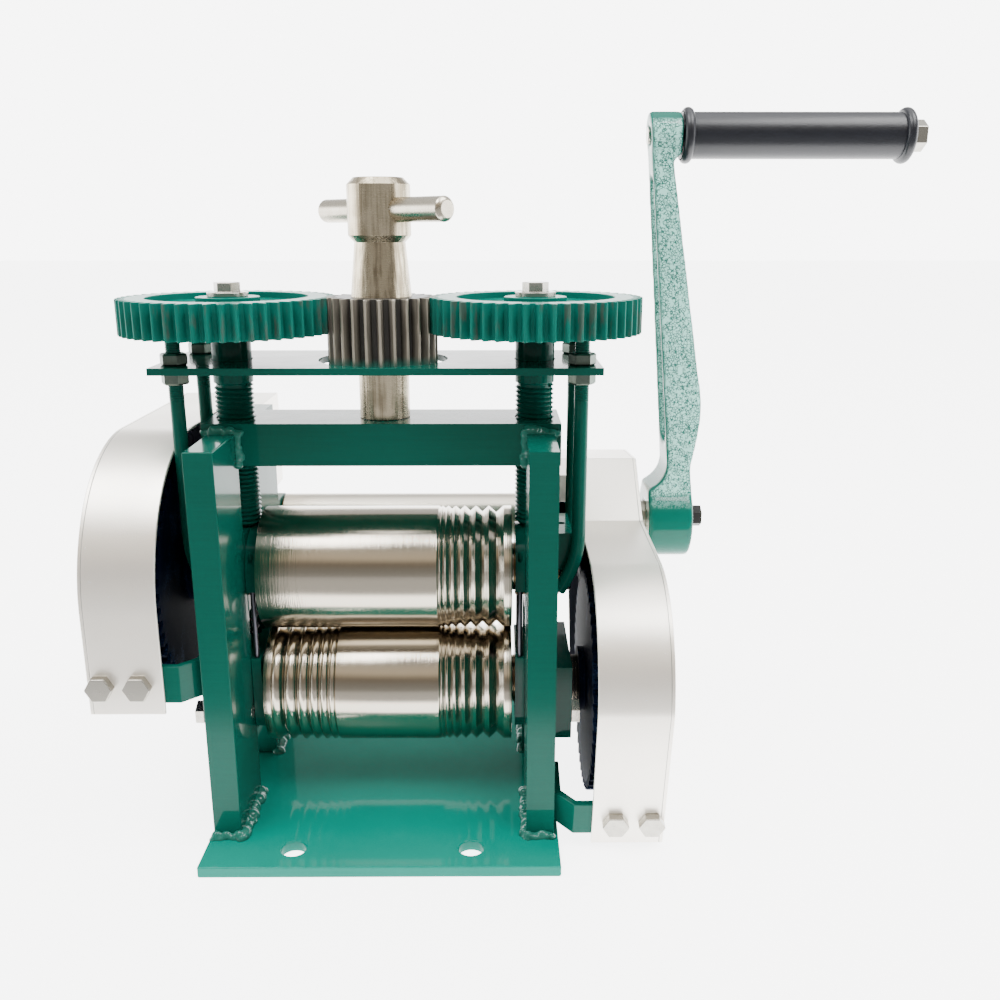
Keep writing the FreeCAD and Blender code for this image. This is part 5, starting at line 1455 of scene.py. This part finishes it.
@dataclass
class Stays:
    """Bent rods that carry the gear plate, and their nuts."""

    wide: float = 85.0
    deep: float = 20.0
    plate_low: float = 203.5
    plate_top: float = 206.5
    nut_across: float = 10.0
    nut_tall: float = 5.0
    radius: float = 3.0
    thread_long: float = 26.0
    thread_pitch: float = 1.0
    thread_ridge: float = 0.35

    def build(self) -> None:
        """Dress the rods and put a nut on each side of the plate."""
        for side in Side:
            for place in ("front", "rear"):
                softened(f"stay_{place}_{side.word}", "frame", GREEN, 0.3, 1)
        places = [(side.value * self.wide, end * self.deep) for side in Side for end in (-1, 1)]
        spots = [Vector((x, y, low)) * MM for x, y in places
                 for low in (self.plate_top, self.plate_low - self.nut_tall)]
        mesh = hex_grower(STAINED).grow("stay_nuts_hex", spots, Across=self.nut_across * MM,
                                     Height=self.nut_tall * MM)
        smooth_by_angle(mesh, 25.0)
        dress(link("stay_nuts_hex", mesh), "frame", STAINED, ["stay_nuts"])
        tip = span("stay_front_left", Axis.Z)[1]
        spots = [Vector((x, y, tip - self.thread_long)) * MM for x, y in places]
        mesh = thread_grower(GREEN).grow(
            "stay_threads", spots, Radius=(self.radius - self.thread_ridge / 2) * MM,
            Pitch=self.thread_pitch * MM, Ridge=self.thread_ridge * MM,
            Length=(self.thread_long - self.thread_pitch) * MM)
        smooth_by_angle(mesh, 40.0)
        dress(link("stay_threads", mesh), "frame", GREEN)


@dataclass
class Guards:
    """Silver sheet covers on green straps."""

    seam_from_edge: float = 1.7
    probes: int = 24
    shut_share: float = 0.3

    def mark_inside(self, mesh: bpy.types.Mesh) -> None:
        """Mark the faces that look at the cover's own walls, which get painted shade.

        Args:
            mesh: the cover's mesh.
        """
        tree = BVHTree.FromPolygons([v.co for v in mesh.vertices],
                                    [tuple(p.vertices) for p in mesh.polygons])
        # Faces that the probes find shut in by the sheet are marked for painted shade.
        mark = mesh.attributes.new("inside", "FLOAT", "FACE")
        golden = math.pi * (3.0 - math.sqrt(5.0))
        for face in mesh.polygons:
            turn = face.normal.to_track_quat("Z", "X")
            hits = 0
            for k in range(self.probes):
                rise = 1.0 - (k + 0.5) / self.probes
                flat = math.sqrt(1.0 - rise * rise)
                way = turn @ Vector((flat * math.cos(golden * k), flat * math.sin(golden * k), rise))
                if tree.ray_cast(face.center + face.normal * 0.1 * MM, way, 0.3)[0] is not None:
                    hits += 1
            mark.data[face.index].value = float(hits > self.shut_share * self.probes)

    def build(self) -> None:
        """Dress the covers, straps and their bolts."""
        for side in Side:
            node = "gear_guard_" + side.word
            edge = span(node, Axis.X)[0 if side is Side.LEFT else 1]
            finish = GuardPaint("silver_" + side.word, "guard_silver",
                                (edge - side.value * self.seam_from_edge) * MM)
            self.mark_inside(softened(node, "frame", finish, 0.5, 2).data)
            softened("guard_strap_" + side.word, "frame", GREEN, 0.5, 2)
        softened("guard_bolts", "frame", ZINC, 0.4, 2)
        softened("block_bolts", "frame", ZINC, 0.4, 2)


@dataclass
class EndBolts:
    """Single bolts on the ends of shafts."""

    def build(self) -> None:
        """Dress each bolt."""
        for name, body in (("upper_gear_bolt", "upper_roller"), ("lower_gear_bolt", "lower_roller"),
                           ("drive_end_bolt", "crank"), ("crank_bolt", "crank"),
                           ("grip_bolt", "crank"), ("screw_bolt_left", "screw_left"),
                           ("screw_bolt_right", "screw_right")):
            softened(name, body, BLACKED if name == "crank_bolt" else ZINC, 0.35, 2)


@dataclass
class Studio:
    """Floor, soft light and the camera."""

    image: float = 1000.0
    focal: float = 987.08
    place: tuple[float, float, float] = (0.048155, -0.431884, 0.261454)
    pitch: float = 15.405
    yaw: float = -0.352
    floor_near: Colour = (0.5, 0.5, 0.5)
    floor_front: Colour = (0.14, 0.14, 0.14)
    floor_glow: float = 5.1
    glow_front: Colour = (0.08, 0.08, 0.08)
    glow_edge: tuple[float, float] = (-0.168, 0.05)
    paint_edge: tuple[float, float] = (-0.185, 0.08)
    floor_half: float = 8.0
    front_turn: tuple[float, float] = (-0.1, -0.5)
    front_room: list[tuple[float, Colour]] = field(default_factory=lambda: [
        (0.0, (0.52, 0.51, 0.5)), (0.18, (0.4, 0.385, 0.36)), (0.36, (0.34, 0.29, 0.24)),
        (0.57, (1.1, 0.95, 0.74)), (0.71, (0.95, 0.85, 0.7)), (0.80, (0.6, 0.57, 0.53)),
        (0.89, (2.2, 2.15, 2.1)), (0.95, (4.0, 4.0, 4.0)),
    ])
    back_room: list[tuple[float, Colour]] = field(default_factory=lambda: [
        (0.0, (7.4, 7.4, 7.4)), (0.22, (7.4, 7.4, 7.4)), (0.42, (1.2, 1.2, 1.2)),
        (0.70, (1.0, 1.0, 1.0)), (0.87, (2.5, 2.5, 2.5)), (0.95, (4.0, 4.0, 4.0)),
    ])
    panels: list[tuple] = field(default_factory=lambda: [
        ("key", (-0.75, -0.5, 1.95), (1.4, 0.8), 48.0),
        ("fill", (0.95, -0.45, 1.85), (1.4, 0.8), 48.0),
    ])

    def lay_floor(self) -> None:
        """Large floor that glows like paper round the mill and falls to grey in front of it."""
        mesh = bpy.data.meshes.new("floor")
        half = self.floor_half
        corners = [(-half, -half, 0), (half, -half, 0), (half, half, 0), (-half, half, 0)]
        mesh.from_pydata(corners, [], [(0, 1, 2, 3)])
        floor = link("floor", mesh)
        bench = Bench("floor_paint")
        depth = bench.axis(Axis.Y)
        glow = depth.above(*self.glow_edge)
        paint = depth.above(*self.paint_edge)
        bench.set(
            Base_Color=bench.blend(self.floor_front, self.floor_near, paint),
            Roughness=0.7,
            Emission_Strength=self.floor_glow,
            Emission_Color=bench.blend(self.glow_front, (1.0, 1.0, 1.0), glow),
        )
        mesh.materials.append(bench.material)

    def hang_lights(self) -> None:
        """Soft panels above the mill."""
        for name, place, size, power in self.panels:
            lamp = bpy.data.lights.new(name, "AREA")
            lamp.shape = "RECTANGLE"
            lamp.size, lamp.size_y = size
            lamp.energy = power
            thing = bpy.data.objects.new(name, lamp)
            bpy.context.scene.collection.objects.link(thing)
            thing.location = place
            thing.visible_camera = False
            aim = Vector((0.0, 0.0, 0.15)) - Vector(place)
            thing.rotation_euler = aim.to_track_quat("-Z", "Y").to_euler()

    def bands(self, tree: bpy.types.NodeTree, height: bpy.types.NodeSocket,
              room: Sequence[tuple[float, Colour]], brightest: float) -> bpy.types.NodeSocket:
        """Colour of the room by the height of the direction.

        Args:
            tree: the world's tree.
            height: sine of the direction's elevation.
            room: heights and colours.
            brightest: the value that stands for one.

        Returns:
            The colour.
        """
        ramp = tree.nodes.new("ShaderNodeValToRGB")
        ramp.color_ramp.interpolation = "EASE"
        Bench._fill_ramp(ramp.color_ramp, [(place, tuple(part / brightest for part in colour))
                                           for place, colour in room])
        tree.links.new(height, ramp.inputs[0])
        return ramp.outputs[0]

    def light_world(self) -> None:
        """White paper behind the mill and a dim room in front, bright overhead."""
        world = bpy.data.worlds.new("studio")
        bpy.context.scene.world = world
        world.use_nodes = True
        tree = world.node_tree
        way = tree.nodes.new("ShaderNodeTexCoord").outputs["Generated"]
        parts = tree.nodes.new("ShaderNodeSeparateXYZ")
        tree.links.new(way, parts.inputs[0])
        brightest = max(max(colour) for _, colour in self.front_room + self.back_room)
        front = tree.nodes.new("ShaderNodeMapRange")
        front.interpolation_type = "SMOOTHSTEP"
        for word, value in zip(("From Min", "From Max"), self.front_turn):
            front.inputs[word].default_value = value
        tree.links.new(parts.outputs["Y"], front.inputs["Value"])
        mixed = tree.nodes.new("ShaderNodeMix")
        mixed.data_type = "RGBA"
        tree.links.new(front.outputs[0], mixed.inputs[0])
        for socket, room in ((6, self.back_room), (7, self.front_room)):
            tree.links.new(self.bands(tree, parts.outputs["Z"], room, brightest),
                           mixed.inputs[socket])
        light = tree.nodes["Background"]
        tree.links.new(mixed.outputs[2], light.inputs["Color"])
        light.inputs["Strength"].default_value = brightest

    def set_camera(self) -> None:
        """Camera a little above the top gears, to the right of the middle."""
        data = bpy.data.cameras.new("view")
        data.sensor_width = 36.0
        data.lens = self.focal / self.image * data.sensor_width
        data.clip_start = 0.01
        camera = bpy.data.objects.new("view", data)
        bpy.context.scene.collection.objects.link(camera)
        camera.location = self.place
        camera.rotation_euler = (math.radians(90.0 - self.pitch), 0.0, math.radians(self.yaw))
        bpy.context.scene.camera = camera

    def build(self) -> None:
        """Build the studio."""
        self.lay_floor()
        self.hang_lights()
        self.light_world()
        self.set_camera()


def main() -> None:
    """Build every sub-assembly and the studio."""
    logging.basicConfig(level=logging.INFO, format="%(name)s %(message)s")
    assemblies = [
        WeldedFrame(), Bearings(),
        Roller("upper_roller", 110.8, Side.LEFT, False),
        Roller("lower_roller", 54.5, Side.RIGHT, True),
        GearTrain(), Crank(), AdjustingTop(), Stays(), Guards(), EndBolts(), Studio(),
    ]
    for assembly in assemblies:
        LOG.info("building %s", type(assembly).__name__)
        assembly.build()


if __name__ == "__main__":
    main()
